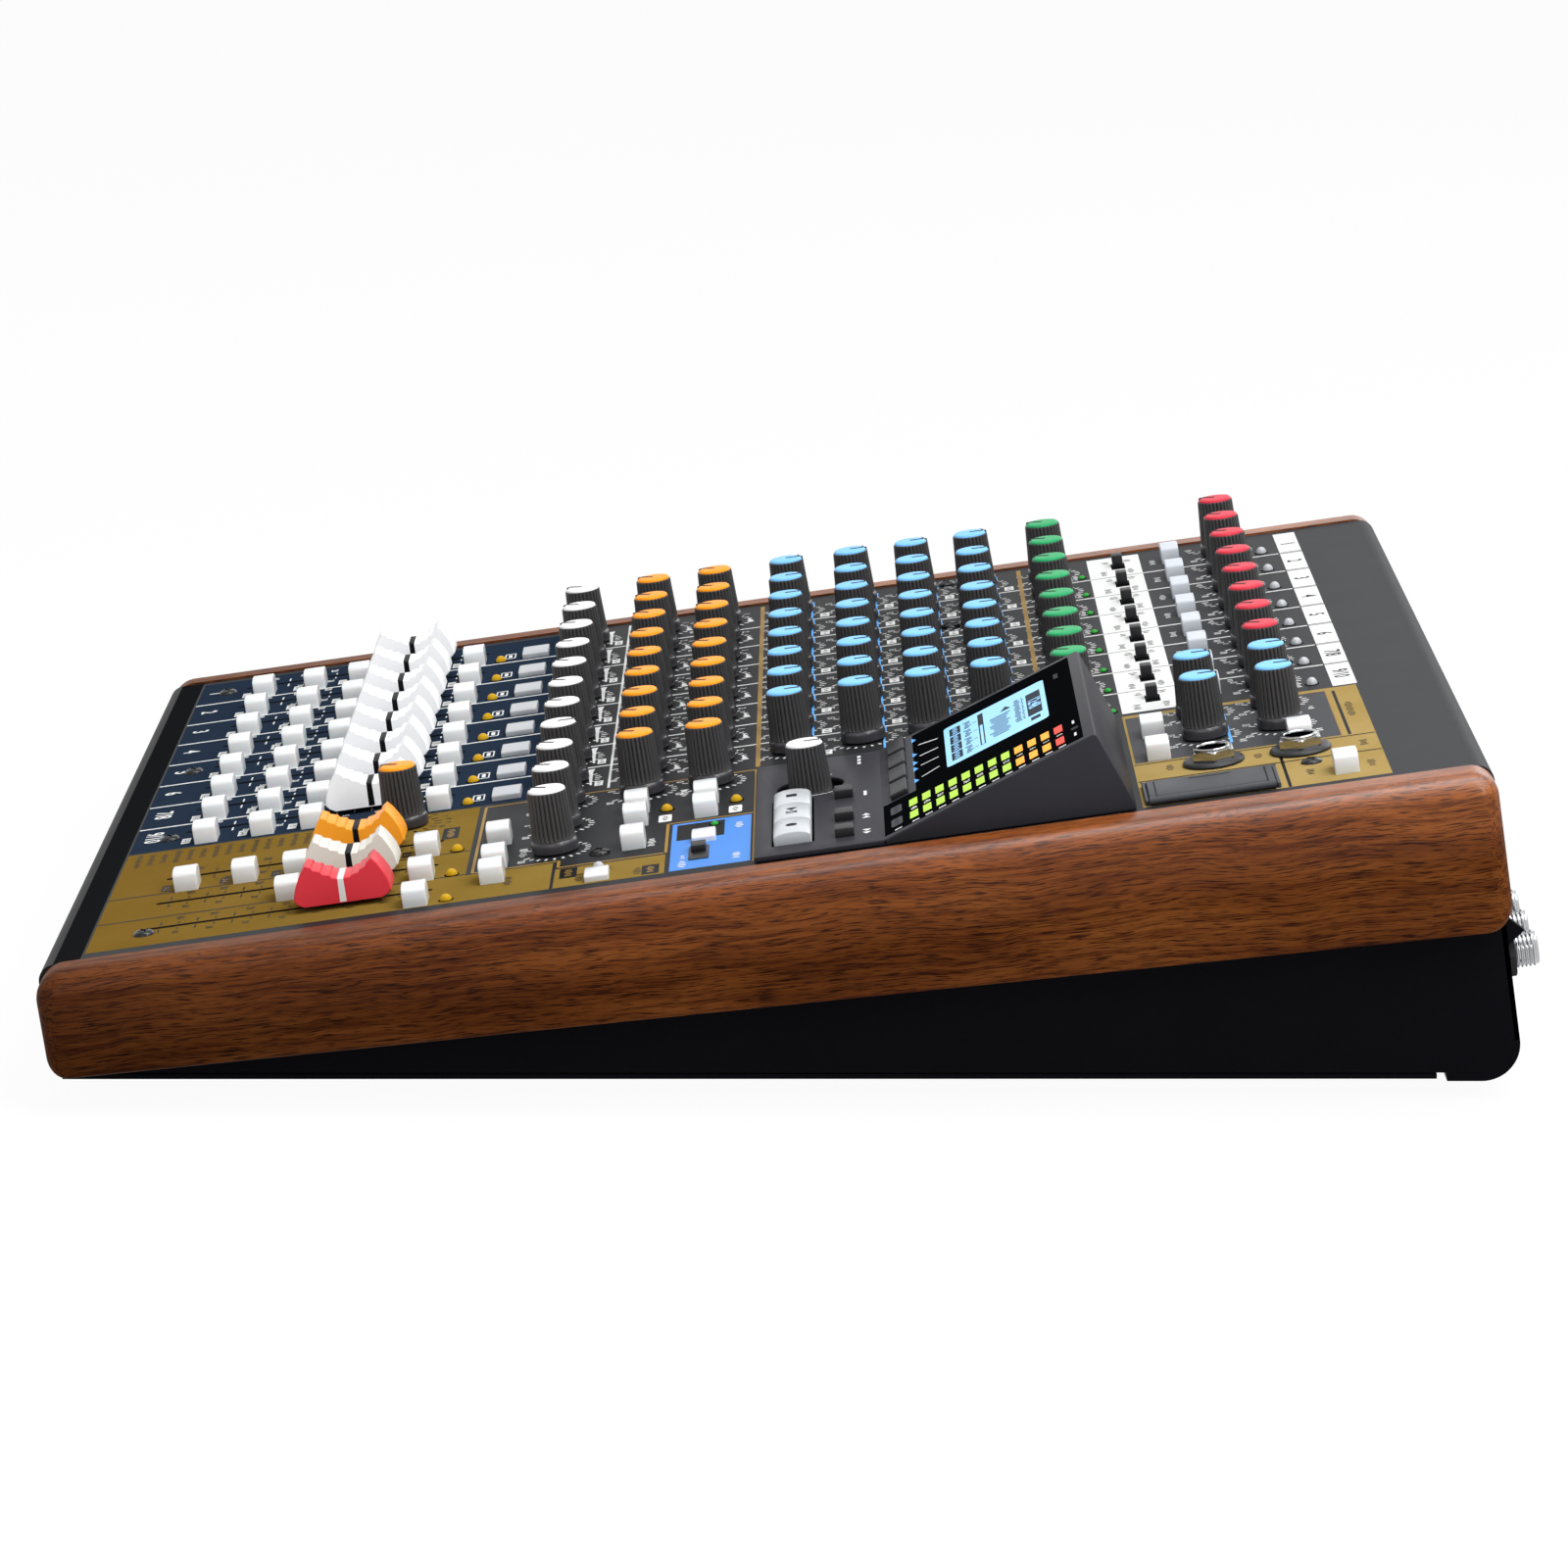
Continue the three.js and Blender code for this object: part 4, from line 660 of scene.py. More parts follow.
# ---- Push buttons and slide switches ----
def arched(half, foot, shoulder, lift, power, steps):
    """Section with an upright side to either hand and an arched top."""
    section = [(-half, foot), (half, foot)]
    for i in range(steps + 1):
        angle = pi * i / steps
        section.append((half * cos(angle), shoulder + lift * sin(angle) ** power))
    return section


def button_form(width, length, shoulder, rise, foot=-0.5):
    """Button with a top that is arched across, its edges softened."""
    section = arched(width / 2, foot, shoulder, rise - shoulder, 0.8, 8)
    form = Form()
    form.rings([[(x, s, n) for x, n in section] for s in (length / 2, -length / 2)])
    return form.rounded(0.32, 3, 40.0)


def lever_form(foot):
    """Lever of a slide switch."""
    form = Form()
    form.box(-2.2, 2.2, -1.5, 1.5, foot, 3.4)
    return form.rounded(0.25, 2)


# Width, length, shoulder, top and look; the moving ones reach deeper into the deck
DEEP = -3.1
BUTTON_SIZES = {
    "push_button": (8.9, 5.9, 3.7, 5.2, "button"),
    "low_cut_button": (8.9, 5.1, 3.7, 5.2, "grey_button"),
    "record_button": (10.1, 7.5, 1.35, 1.6, "record"),
}
BUTTONS = {
    kind + ending: shared(kind + ending, button_form(*size, foot), [look], 50.0)
    for kind, (*size, look) in BUTTON_SIZES.items() for ending, foot in (("", -0.5), ("_deep", DEEP))
}
BUTTONS.update(
    ("switch_lever" + ending, shared("switch_lever" + ending, lever_form(foot), ["switch"]))
    for ending, foot in (("", -0.5), ("_deep", -2.9))
)
LOW_BUTTON = shared("low_push_button", button_form(8.9, 5.9, 1.3, 1.9), ["button"], 50.0)
STRIP_BUTTONS = [(f"assign_{i + 1}", "push_button", BUTTON_SHARE, s) for i, s in enumerate(ASSIGN_ROWS)]
STRIP_BUTTONS += [
    ("mute", "push_button", BUTTON_SHARE, MUTE_ROW), ("record", "record_button", RECORD_SHARE, RECORD_ROW),
    ("low_cut", "low_cut_button", 0.5, LOW_CUT_ROW), ("input", "switch_lever", SWITCH_SHARE, SWITCH_ROW),
]

for lane in range(CHANNELS):
    for label, kind, share, s in STRIP_BUTTONS:
        x, slot = lane_x(lane + share), "switch" if label == "input" else "button"
        if lane == CHANNELS - 1:
            body = f"{slot}_{label}"
            copy_at(f"strip_{label}_{slot}", BUTTONS[f"{kind}_deep"], x, s, body, [body])
        else:
            copy_at(f"channel_{lane + 1}_{label}_{slot}", BUTTONS[kind], x, s)
for i, (share, s) in enumerate(MASTER_BUTTONS):
    data = LOW_BUTTON if (share, s) in LOW_PLACES else BUTTONS["push_button"]
    copy_at(f"master_button_{i + 1}", data, lane_x(share), s)

# ---- Deck plate with its bent lips ----
BEND = 4.0
BEND_S = HALF_PANEL - BEND
WELL_SHIFT = 1.5
slots = [lozenge(lane_x(lane + FADER_SHARE), SLOT_MIDDLE, 1.9, SLOT_LENGTH) for lane in FADER_LANES]
rounds = [ring_of(PHONES_X, s, 4.9, 24) for s in (111.1, 132.5)]
well_middles = [lane_x(lane + SWITCH_SHARE) + WELL_SHIFT for lane in range(CHANNELS)]
wells = [oblong(x, SWITCH_ROW, 8.2, 3.9) for x in well_middles]
deck_holes = slots + rounds + wells + [oblong(145.0, 108.8, 2.5, 24.5)]
deck_plate = plate(oblong(0, 0, 2 * BODY_HALF, 2 * BEND_S), deck_holes, -SHEET, 0)
for end, foot in ((-1, -23.5), (1, -9.0)):
    upright = 90 - 90 * end
    lip = arc(end * BEND_S, -BEND, BEND, 90, upright, 10)
    lip += [(end * HALF_PANEL, foot), (end * (HALF_PANEL - SHEET), foot)]
    lip += arc(end * BEND_S, -BEND, BEND - SHEET, upright, 90, 10)
    deck_plate.across(lip, -BODY_HALF, BODY_HALF)
piece("deck_plate", deck_plate, ["deck"], ["top_panel"])

# Painted shade: near-black plates under the switch wells and the card slot
shade_plates = Form()
for x in well_middles:
    shade_plates.box(x - 4.6, x + 4.6, SWITCH_ROW - 2.5, SWITCH_ROW + 2.5, -3.4, -3.0)
shade_plates.box(143, 147, 96, 121.5, -3.4, -3.0)
piece("painted_shade_plates", shade_plates, ["hole"])

# ---- Printed fields ----
FIELD, FIELD_OVER = 0.015, 0.03
FIELD_INKS = ["navy", "gold", "grey", "blue", "black", "white", "margin"]
fields = Form()
for ink, x0, x1, s0, s1, n in (
    ("navy", LEFT_EDGE, STRIPS_EDGE, -164.0, -57.0, FIELD), ("gold", 53.2, 152.6, -164.0, -73.0, FIELD),
    ("gold", 126.4, 152.6, -73.0, -51.4, FIELD), ("gold", 133.6, 152.6, -50.6, -23.6, FIELD),
    ("gold", 53.4, 154.4, 91.8, 151.6, FIELD), ("grey", 56.0, 107.8, 92.4, 143.7, FIELD_OVER),
    ("blue", 103.6, 152.0, -22.4, -2.8, FIELD), ("black", 105.4, 121.5, -21.2, -9.4, FIELD_OVER),
    ("white", LEFT_EDGE, 50.4, 92.1, 107.0, FIELD_OVER),
    ("margin", -BODY_HALF, BODY_HALF, -BEND_S, -164.6, 0.01),
    ("white", LEFT_EDGE, STRIPS_EDGE, 145.9, 152.1, FIELD_OVER),
):
    inside = [hole for hole in deck_holes if all(x0 < x < x1 and s0 < s < s1 for x, s in hole)]
    outline = [(x0, s0), (x1, s0), (x1, s1), (x0, s1)]
    fields.absorb(plate(outline, inside, n - 0.012, n, FIELD_INKS.index(ink)))
piece("printed_fields", fields, FIELD_INKS)

# ---- Printed lines, ticks and numbers ----
INK = Form()
WHITE, BLACK, GOLD, SKY = range(4)
BAR_HEIGHTS, BAR_WIDTH, BAR_PITCH = (0.72, 1.0, 0.55, 0.86, 1.0, 0.64), 0.72, 1.5


def caption(x, s, length, height, mark, seed=0, n=OVER):
    """A short row of plain bars where a label stands."""
    count = max(2, int(length / BAR_PITCH))
    for i in range(count):
        tall = height * BAR_HEIGHTS[(i + seed) % len(BAR_HEIGHTS)]
        INK.patch(x - length / 2 + (i + 0.5) * length / count, s, BAR_WIDTH, tall, n, mark)


def scale_ring(x, s, centred):
    """Ticks round a knob with numbers at their ends."""
    INK.dial(x, s, 7.2, 9.0, [0] * centred + [-TURN_LIMIT, TURN_LIMIT], 0.75, WHITE)
    INK.dial(x, s, 7.4, 8.8, [a for a in range(-135, 136, 15) if a or not centred], 0.62, WHITE)
    for side, text in zip((-1, 1), ("15", "15") if centred else ("0", "10")):
        number(INK, text, x + side * 6.4, s - 8.4, 2.7, PRINT, WHITE)


for k in range(1, CHANNELS):
    x = lane_x(k)
    for s0, s1 in ((-164.0, 92.1), (107.0, 145.5)):
        INK.stroke(x, s0, x, s1, 1.0, PRINT, WHITE)
    for side in (-0.6, 0.6):
        INK.stroke(x + side, 145.9, x + side, 152.1, 0.55, OVER, BLACK)
    INK.stroke(x, 92.1, x, 107.0, 0.5, 0.046, BLACK)
for x in (100.6, 125.4):
    INK.stroke(x, -164.0, x, -73.0, 0.9, PRINT, BLACK)
INK.stroke(LEFT_EDGE, -40.1, STRIPS_EDGE, -40.1, 0.65, LINE, WHITE)
for s in (-1.6, 72.4):
    INK.stroke(LEFT_EDGE, s, STRIPS_EDGE, s, 1.2, LINE, GOLD)
for x0, s0, x1, s1 in (
    (55.0, -71.4, 125.2, -71.4), (125.2, -71.4, 125.2, -50.0), (132.0, -50.0, 132.0, -24.2),
    (102.2, -23.6, 132.0, -23.6), (125.2, -50.0, 132.0, -50.0), (102.2, -23.6, 102.2, -1.9),
    (55.0, -1.9, 102.2, -1.9), (55.0, -71.4, 55.0, -1.9), (102.2, -1.9, 153.4, -1.9),
    (56.0, 92.4, 56.0, 143.7), (56.0, 143.7, 107.8, 143.7),
):
    INK.stroke(x0, s0, x1, s1, 0.75 if s0 == s1 else 0.9, LINE, GOLD)
for x0, s0, x1, s1 in (
    (109.6, 92.0, 109.6, 151.4), (109.6, 127.2, 154.2, 127.2), (127.8, 92.0, 127.8, 151.4),
    (57.4, 145.4, 108.0, 145.4),
):
    INK.stroke(x0, s0, x1, s1, 0.8, OVER, BLACK)

for row, s, colour in CHANNEL_ROWS:
    for lane in range(CHANNELS):
        x = lane_x(lane + 0.5)
        scale_ring(x, s, colour == "blue" or row == "pan")
        if colour == "white":
            wedge = ((-10.4, 5.2), (-6.4, 5.3), (8.0, 6.1), (8.0, 6.6), (-6.4, 6.5), (-10.4, 6.9))
            INK.flat([(x + dx, s + ds) for dx, ds in wedge], OVER, WHITE)
            INK.patch(x + 7.0, s + 8.4, 5.4, 2.2, LINE, WHITE)
            caption(x + 7.0, s + 8.4, 4.4, 1.2, BLACK, lane)
        elif colour == "orange":
            INK.flat([(x - 3.0, s + 7.5), (x + 3.4, s + 7.5), (x + 3.4, s + 9.3)], OVER, WHITE)
            number(INK, str(lane % 2 + 1), x - 8.6, s + 6.8, 2.7, PRINT, WHITE)
        elif colour == "blue":
            INK.stroke(lane_x(lane) + 0.5, s + 5.3, lane_x(lane + 1) - 0.5, s + 5.3, 0.6, 0.042, SKY)
            INK.patch(x - 9.4, s + 5.3, 5.0, 1.5, 0.043, SKY)
            INK.patch(x + 8.2, s + 8.9, 5.2, 2.6, LINE, WHITE)
            caption(x + 8.2, s + 8.9, 4.2, 1.4, BLACK, lane)
        else:
            caption(x + 7.6, s + 7.4, 5.4, 1.8, WHITE, lane)
for row, lane, s, colour in MASTER_KNOBS:
    x = lane_x(lane + 0.5)
    if row == "effect_select":
        turns = range(-TURN_LIMIT, TURN_LIMIT + 1, 20)
        INK.dial(x, s, 7.2, 9.2, turns, 0.7, BLACK)
        for i, turn in enumerate(turns):
            a = radians(turn)
            number(INK, str(i + 1), x + 10.9 * sin(a), s + 10.9 * cos(a), 2.2, PRINT, BLACK)
        continue
    scale_ring(x, s, colour == "blue")
    if colour == "blue":
        INK.stroke(x - 10.0, s + 5.9, x + 10.0, s + 5.9, 0.75, LINE, SKY)
        caption(x + 9.4, s + 8.8, 3.6, 1.8, WHITE, lane)

# Fader scales
LEVELS = [
    (0.0, "10"), (0.13, "5"), (0.26, "0"), (0.39, "5"), (0.52, "10"), (0.66, "20"), (0.8, "30"), (0.93, "60"),
]
SCALE_TOP, SCALE_SPAN = SLOT_MIDDLE + SLOT_LENGTH / 2 - 3.5, SLOT_LENGTH - 7
for lane in FADER_LANES:
    x = lane_x(lane + FADER_SHARE)
    ink = WHITE if lane < CHANNELS else BLACK
    for i in range(15):
        s = SCALE_TOP - SCALE_SPAN * i / 14
        reach = 1.8 if i % 2 else 3.2
        for side in (-1, 1):
            INK.stroke(x + side * 1.9, s, x + side * (1.9 + reach), s, 0.42, PRINT, ink)
    for share, text in LEVELS:
        for shift, size in ((-7.4, 2.8), (6.6, 2.4)):
            number(INK, text, x + shift, SCALE_TOP - SCALE_SPAN * share, size, PRINT, ink)

# Labels beside the push buttons and round the strips' controls
for lane in list(range(CHANNELS)) + [9]:
    ground, ink = (WHITE, BLACK) if lane < CHANNELS else (BLACK, GOLD)
    x = lane_x(lane + BUTTON_SHARE) - 1.0
    for s, text in zip((*ASSIGN_ROWS, MUTE_ROW), ("1–2", "3–4", "5", "5")):
        INK.patch(x, s - 5.6, 5.6, 2.3, PRINT, ground)
        number(INK, text, x, s - 5.6, 2.2, OVER, ink)
for lane, name in enumerate(CHANNEL_NAMES):
    left, x, box = lane_x(lane), lane_x(lane + 0.5), lane_x(lane + 0.56)
    number(INK, name, lane_x(lane + 0.42), -159.4, 6.2, PRINT, WHITE)
    number(INK, name, x, 148.9, 5.6, OVER, BLACK)
    for edge in (box, box + 6.0):
        INK.stroke(edge, -75.4, edge, -72.6, 0.612, OVER, WHITE)
    for s in (-75.4, -72.6):
        INK.stroke(box, s, box + 6.0, s, 0.36, OVER, WHITE)
    INK.patch(box + 3.0, -74.0, 3.6, 1.0, PRINT, WHITE)
    for middle, s, length, height, ink, seed in (
        (x + 6.6, 96.2, 6.0, 1.9, BLACK, 0), (x + 6.6, 103.8, 6.0, 1.9, BLACK, 2),
        (left + 4.4, 97.2, 3.4, 2.2, BLACK, 1), (left + 4.4, 103.4, 3.4, 2.2, BLACK, 3),
        (x, 110.4, 6.6, 1.9, WHITE, 0), (lane_x(lane + 0.83), 86.3, 4.8, 1.9, WHITE, 2),
        (lane_x(lane + 0.8), 137.2, 4.6, 1.8, WHITE, 0), (left + 3.4, 121.2, 3.2, 1.9, WHITE, 4),
    ):
        caption(middle, s, length, height, ink, lane + seed)

# Marks of the master section
for i in range(16):
    caption(lane_x(8.42), -160.6 + 3.35 * i, 13.5 - 2.0 * (i % 3), 1.6, BLACK, i)
for ink, places in (
    (WHITE, (
        (91.0, -66.6, 6.0), (111.4, -59.4, 9.0), (70.0, -20.2, 8.0), (119.0, -27.4, 8.0), (113.0, -5.8, 6.0),
        (144.6, -6.2, 6.0), (146.4, -19.4, 7.0), (64.6, 98.6, 6.0),
    )),
    (BLACK, (
        (138.6, -62.0, 9.0), (145.2, -44.4, 8.0), (146.8, -30.2, 7.0), (141.6, -37.6, 7.0),
        (116.8, 100.4, 6.0), (117.8, 122.0, 5.0), (141.8, 133.0, 6.0), (141.0, 147.8, 7.0),
        (80.0, 147.8, 16.0), (118.6, 147.8, 6.0),
    )),
):
    for x, s, length in places:
        caption(x, s, length, 2.1, ink, int(x))
for s in (-24.5, -6.9):
    INK.flat(oblong(lane_x(9.76), s, 7.4, 3.3, 0.6), OVER, WHITE)
    caption(lane_x(9.76), s, 4.6, 1.6, BLACK, 0, TOP)
for x, s, width in ((78.6, -79.2, 12.0), (147.0, -27.0, 9.0), (139.0, -47.2, 10.0)):
    INK.patch(x, s, width, 4.2, OVER, BLACK)
    caption(x, s, width - 3.0, 2.0, GOLD, 0, TOP)
for i in range(3):
    caption(139.4, -19.4 + 2.1 * i, 4.0, 1.2, WHITE, i)
piece("printed_marks", INK, ["white", "black", "gold_line", "sky"])

# Slide switch in the blue field
slider = Form()
slider.box(130.4, 143.6, -17.9, -12.9, 0.02, 0.3)
slider.box(131.6, 136.8, -17.2, -13.6, 0.2, 1.9)
piece("output_slide_switch", slider.rounded(0.2, 2), ["switch"])


# ---- Small lamps and screws ----
def dome_form(radius, rise, foot=-0.3, steps=6):
    """Lamp dome in a dark collar."""
    dome = [(radius, foot)]
    for i in range(steps):
        angle = pi / 2 * i / steps
        dome.append((radius * cos(angle), rise * sin(angle)))
    collar = [(radius + 0.35, foot), (radius + 0.35, 0.1), (radius + 0.05, 0.14), (radius - 0.05, 0.1)]
    form = Form()
    form.lathe(dome + [(0.02, rise)], 24)
    form.lathe(collar, 24, 1, None, True, False)
    return form


LAMPS = {
    colour: shared(f"{colour}_lamp_dome", dome_form(radius, rise), [f"led_{colour}", "hole"])
    for colour, radius, rise in (("amber", 1.5, 1.6), ("green", 1.0, 0.9), ("clear", 1.5, 1.8))
}
LAMP_PLACES = [("amber", lane + 0.87, -76.5) for lane in FADER_LANES]
LAMP_PLACES += [("amber", 9.4, -24.2), ("amber", 9.41, -6.7), ("green", 10.3, -11.9), ("clear", 11.46, -39.8)]
LAMP_PLACES += [("green", lane + 0.83, 89.8) for lane in range(CHANNELS)]
LAMP_PLACES += [("clear", lane + 0.82, 141.0) for lane in range(CHANNELS)]
for i, (colour, share, s) in enumerate(LAMP_PLACES):
    copy_at(f"lamp_{colour}_{i + 1}", LAMPS[colour], lane_x(share), s)

# Domed screw heads with a crossed recess
screw = Form()
HEAD = [
    (2.3, -0.2), (2.65, 0.08), (2.6, 0.35), (2.2, 0.75), (1.5, 1.03), (0.75, 1.14), (0.7, 0.7), (0.02, 0.62),
]
screw.lathe(HEAD, 32)
# The crossed recess is near-black: painted shade in the recess.
for turn in (0, pi / 2):
    screw.box(-1.35, 1.35, -0.2, 0.2, 0.8, 1.16, 1, Matrix.Rotation(turn + 0.5, 4, "Z"))
SCREW = shared("deck_screw", screw, ["screw", "hole"])
SCREW_PLACES = [
    (lane_x(0.5), -155.9), (lane_x(4.5), -155.9), (lane_x(7.6), -154.5), (141.0, -150.8),
    (122.9, -40.0), (-150.0, 51.5), (-89.6, 51.4), (132.0, 134.0),
]
for i, (x, s) in enumerate(SCREW_PLACES):
    copy_at(f"deck_screw_{i + 1}", SCREW, x, s)


# ---- Wooden side panels ----
def wood_form(side):
    """Panel from a dense side outline, rounded outward by a radius that follows the outline's normal."""
    top, low_front, low_rear = 0.5, -24.7, -38.1
    fall = degrees(atan2(low_front - low_rear, 2 * HALF_PANEL))
    outline = arc(HALF_PANEL - 6, top - 6, 6, 0, 90, 10) + arc(7 - HALF_PANEL, top - 7, 7, 90, 180, 12)
    outline += arc(5 - HALF_PANEL, low_front + 4.3, 5, 180, 270 - fall, 8)
    outline += arc(HALF_PANEL - 6.5, low_rear + 6.5, 6.5, 270 - fall, 360, 10)
    normals = []
    for before, after in zip(outline[-1:] + outline, outline[1:] + outline[:1]):
        run = Vector((after[0] - before[0], after[1] - before[1])).normalized()
        normals.append(Vector((run.y, -run.x)))
    rows = [[(side * (BODY_HALF + 0.3), s, n) for s, n in outline]]
    for i in range(9):
        angle = pi / 2 * i / 8
        row = []
        for (s, n), normal in zip(outline, normals):
            edge = 6.0 * max(0.0, normal.y) ** 2 + 1.4 * max(0.0, -normal.y) ** 2 + 4.5 * normal.x ** 2
            inset = edge * (1 - cos(angle))
            x = OUTER_HALF - edge + edge * sin(angle)
            row.append((side * x, s - normal.x * inset, n - normal.y * inset))
        rows.append(row)
    form = Form()
    form.rings(rows[::side])
    return form


for end, side in (("right", 1), ("left", -1)):
    piece(f"wood_panel_{end}", wood_form(side), ["wood"], [f"side_panel_{end}"], 60.0)

# ---- Display pod ----
pod_plate = plate(
    [(POD_LEFT, -1.6), (POD_RIGHT, -1.6), (POD_RIGHT, 30.4), (POD_LEFT, 30.4)],
    [ring_of(88.9, 12.08, 8.4, 48), oblong(124.8, 7.8, 46.4, 10.2)], 0.3, 1.6,
)
wedge = Form()
WEDGE_SECTION = [
    (29.4, 0.3), (90.2, 0.3), (90.2, 1.3), (83.2, 19.2), (82.9, 19.8), (82.4, 19.9), (82.0, 19.85), FOLD,
    (29.4, 1.6),
]
wedge.across(WEDGE_SECTION, POD_LEFT, POD_RIGHT)
pod = pod_plate.rounded(0.45, 3, 50.0).absorb(wedge.rounded(0.7, 4, 30.0))
# A near-black sheet under the plate's openings: painted shade in the jog recess and the key opening.
pod.box(POD_LEFT + 1, POD_RIGHT - 1, 0, 28, 0.1, 0.28, 1)
piece("pod_housing", pod, ["pod", "hole"], ["display_pod"], 30.0)

small_keys = Form()
for x in (105.0, 129.0, 145.7):
    small_keys.box(x - 2.8, x + 2.8, 18.1, 22.7, 1.2, 3.85)
piece("pod_small_keys", small_keys.rounded(0.3), ["switch"])
function_keys = Form()
for x in (9.4, 24.8, 40.2, 55.6):
    function_keys.box(x - 6.3, x + 6.3, 2.6, 7.2, -0.3, 1.38)
piece("pod_function_keys", function_keys.rounded(0.3), ["switch"], matrix=SCREEN)
WINDOW = [(63.6, 0.25), (94.6, 0.25), (94.6, 53.2), (2.8, 53.2), (2.8, 9.2), (63.6, 9.2)]
piece("pod_window", plate(WINDOW, [], -0.4, 0.06), ["glass"], ["display_window"], matrix=SCREEN)

# What the window shows
shown = Form()
LCD, DARK, LIT, GREEN, AMBER, RED, ASH, EDGE_GLINT = range(8)
SHOWN, SHOWN_OVER = 0.08, 0.09
METER_FOOT, METER_STEP = 8.2, 3.56
shown.flat(oblong(35.2, 31.85, 43.2, 27.9, 1.4), 0.07, LCD)
for i in range(4):
    x = 21.6 + i * 9.0
    shown.patch(x, 20.9, 8.0, 3.0, SHOWN, DARK)
    for k in range(4):
        shown.patch(x - 2.7 + 1.7 * k, 20.9, 0.8, 1.5 if k % 2 else 1.1, SHOWN_OVER, LCD)
    for k in range(5):
        shown.patch(x - 3.0 + 1.5 * k, 24.1 + 0.35 * (k % 2), 0.9, 1.9 - 0.5 * (k % 3), SHOWN, DARK)
    shown.patch(x + 1.2, 26.3, 0.5, 1.1, SHOWN, DARK)
for sizes in (
    (23.0, 28.0, 12.6, 1.5), (40.0, 27.45, 21.6, 0.35), (40.0, 28.55, 21.6, 0.35), (17.2, 28.0, 0.5, 1.45),
    (50.8, 28.0, 0.5, 1.45), (34.4, 42.5, 24.6, 3.9), (50.6, 42.4, 3.4, 2.6),
):
    shown.patch(*sizes, SHOWN, DARK)
shown.flat([(22.4, 34.9), (26.4, 36.4), (26.4, 33.4)], SHOWN, DARK)
for i in range(11):
    shown.patch(29.5 + i * 1.95, 33.2 - 0.2 * (i % 3), 1.0, 5.6 - 0.7 * (i % 4), SHOWN, DARK)
for i in range(12):
    for s, length in ((37.9, 1.6), (39.4, 0.5)):
        tall = length if i % 3 else length * 0.7
        shown.patch(22.4 + i * 2.1, s + 0.2 * (i % 2), 1.2, tall, SHOWN, DARK)
number(shown, "12:48", 34.0, 42.45, 4.6, SHOWN_OVER, LCD)
for guide in (
    (16.4, 10.8, 19.9, 16.0), (29.2, 10.9, 30.0, 16.0), (39.9, 11.0, 40.2, 15.9), (52.6, 11.0, 50.7, 15.9),
):
    shown.stroke(*guide, 0.7, SHOWN, LIT)
# Painted reflections: bluish glints on the glass edge along the notch.
for x in (8.3, 24.6, 33.8, 40.6, 53.2):
    shown.flat([(x - 2.2, 8.95), (x + 2.6, 8.95), (x + 1.2, 10.3)], SHOWN, EDGE_GLINT)
for x in (73.9, 86.5):
    for i in range(12):
        colour = GREEN if i < 8 else AMBER if i < 11 else RED
        shown.patch(x + 0.11 * i, METER_FOOT + i * METER_STEP, 6.9, 2.2, SHOWN, colour)
    shown.flat(oblong(x - 0.6, 3.6, 7.6, 3.0, 0.8), SHOWN, ASH)
    for k in range(4):
        shown.patch(x - 3.2 + 1.6 * k, 3.6, 0.8, 1.2, SHOWN_OVER, DARK)
for i in range(13):
    shown.patch(93.5 + 0.06 * i, 3.9 + (i + 0.3 * (i > 0)) * METER_STEP, 0.9, 1.9, SHOWN, LIT)
for i, text in enumerate(("48", "42", "36", "30", "24", "18", "15", "12", "9", "6", "3", "0")):
    number(shown, text, 80.2 + 0.11 * i, METER_FOOT + i * METER_STEP, 2.3, SHOWN, LIT)
for x in (75.2, 88.4):
    shown.patch(x, 51.4, 3.2, 0.6, SHOWN, LIT)
number(shown, "10", 81.8, 51.4, 2.6, SHOWN, ASH)
for k in range(3):
    shown.patch(15.4 + 1.8 * k, 49.2, 1.0, 1.2, SHOWN, ASH)
SHOWN_INKS = ["lcd", "lcd_ink", "white", "lamp_green", "lamp_orange", "lamp_red", "grey", "sky"]
piece("pod_display", shown, SHOWN_INKS, matrix=SCREEN)

# Signs printed on the pod's plate
SIGN = 1.63
signs = Form()
for x, side in ((129.0, -1), (145.7, 1)):
    for shift in (-1.5, 1.1):
        tail, tip = x + side * (shift - 0.9), x + side * (shift + 1.1)
        signs.flat([(tail, 24.6), (tip, 25.7), (tail, 26.8)][::side], SIGN)
signs.patch(105.0, 25.7, 4.6, 0.8, SIGN)
for start, end in ((150, 200), (-20, 30)):
    turns = arc(88.9, 12.1, 11, start, end, 8)
    for (x0, s0), (x1, s1) in zip(turns, turns[1:]):
        signs.stroke(x0, s0, x1, s1, 0.35, SIGN)
for x in (64.0, 67.5, 71.0):
    signs.patch(x, 24.5, 2.2, 0.9, SIGN)
signs.patch(POD_RIGHT - 2.2, 14.0, 0.35, 27.0, SIGN, 1)
piece("pod_signs", signs, ["white", "grey"])


def key_form(sign):
    """Transport key arched along the slope, with its sign on the crown."""
    width, crown = 14.5, 4.57
    middle = width / 2
    form = Form()
    form.across(arched(4.6, 0.95, 3.1, 1.45, 0.9, 12), 0.05, width)
    form = form.rounded(0.35, 3, 40.0)
    if sign == "stop":
        form.patch(middle, 0, 2.6, 2.6, crown, 1)
    elif sign == "play":
        form.flat([(middle - 2.2, -1.4), (middle + 0.4, 0), (middle - 2.2, 1.4)], crown, 1)
        for shift in (1.5, 2.9):
            form.patch(middle + shift, 0, 0.7, 2.8, crown, 1)
    else:
        form.flat(ring_of(middle, 0, 1.4, 20), crown, 1)
    return form


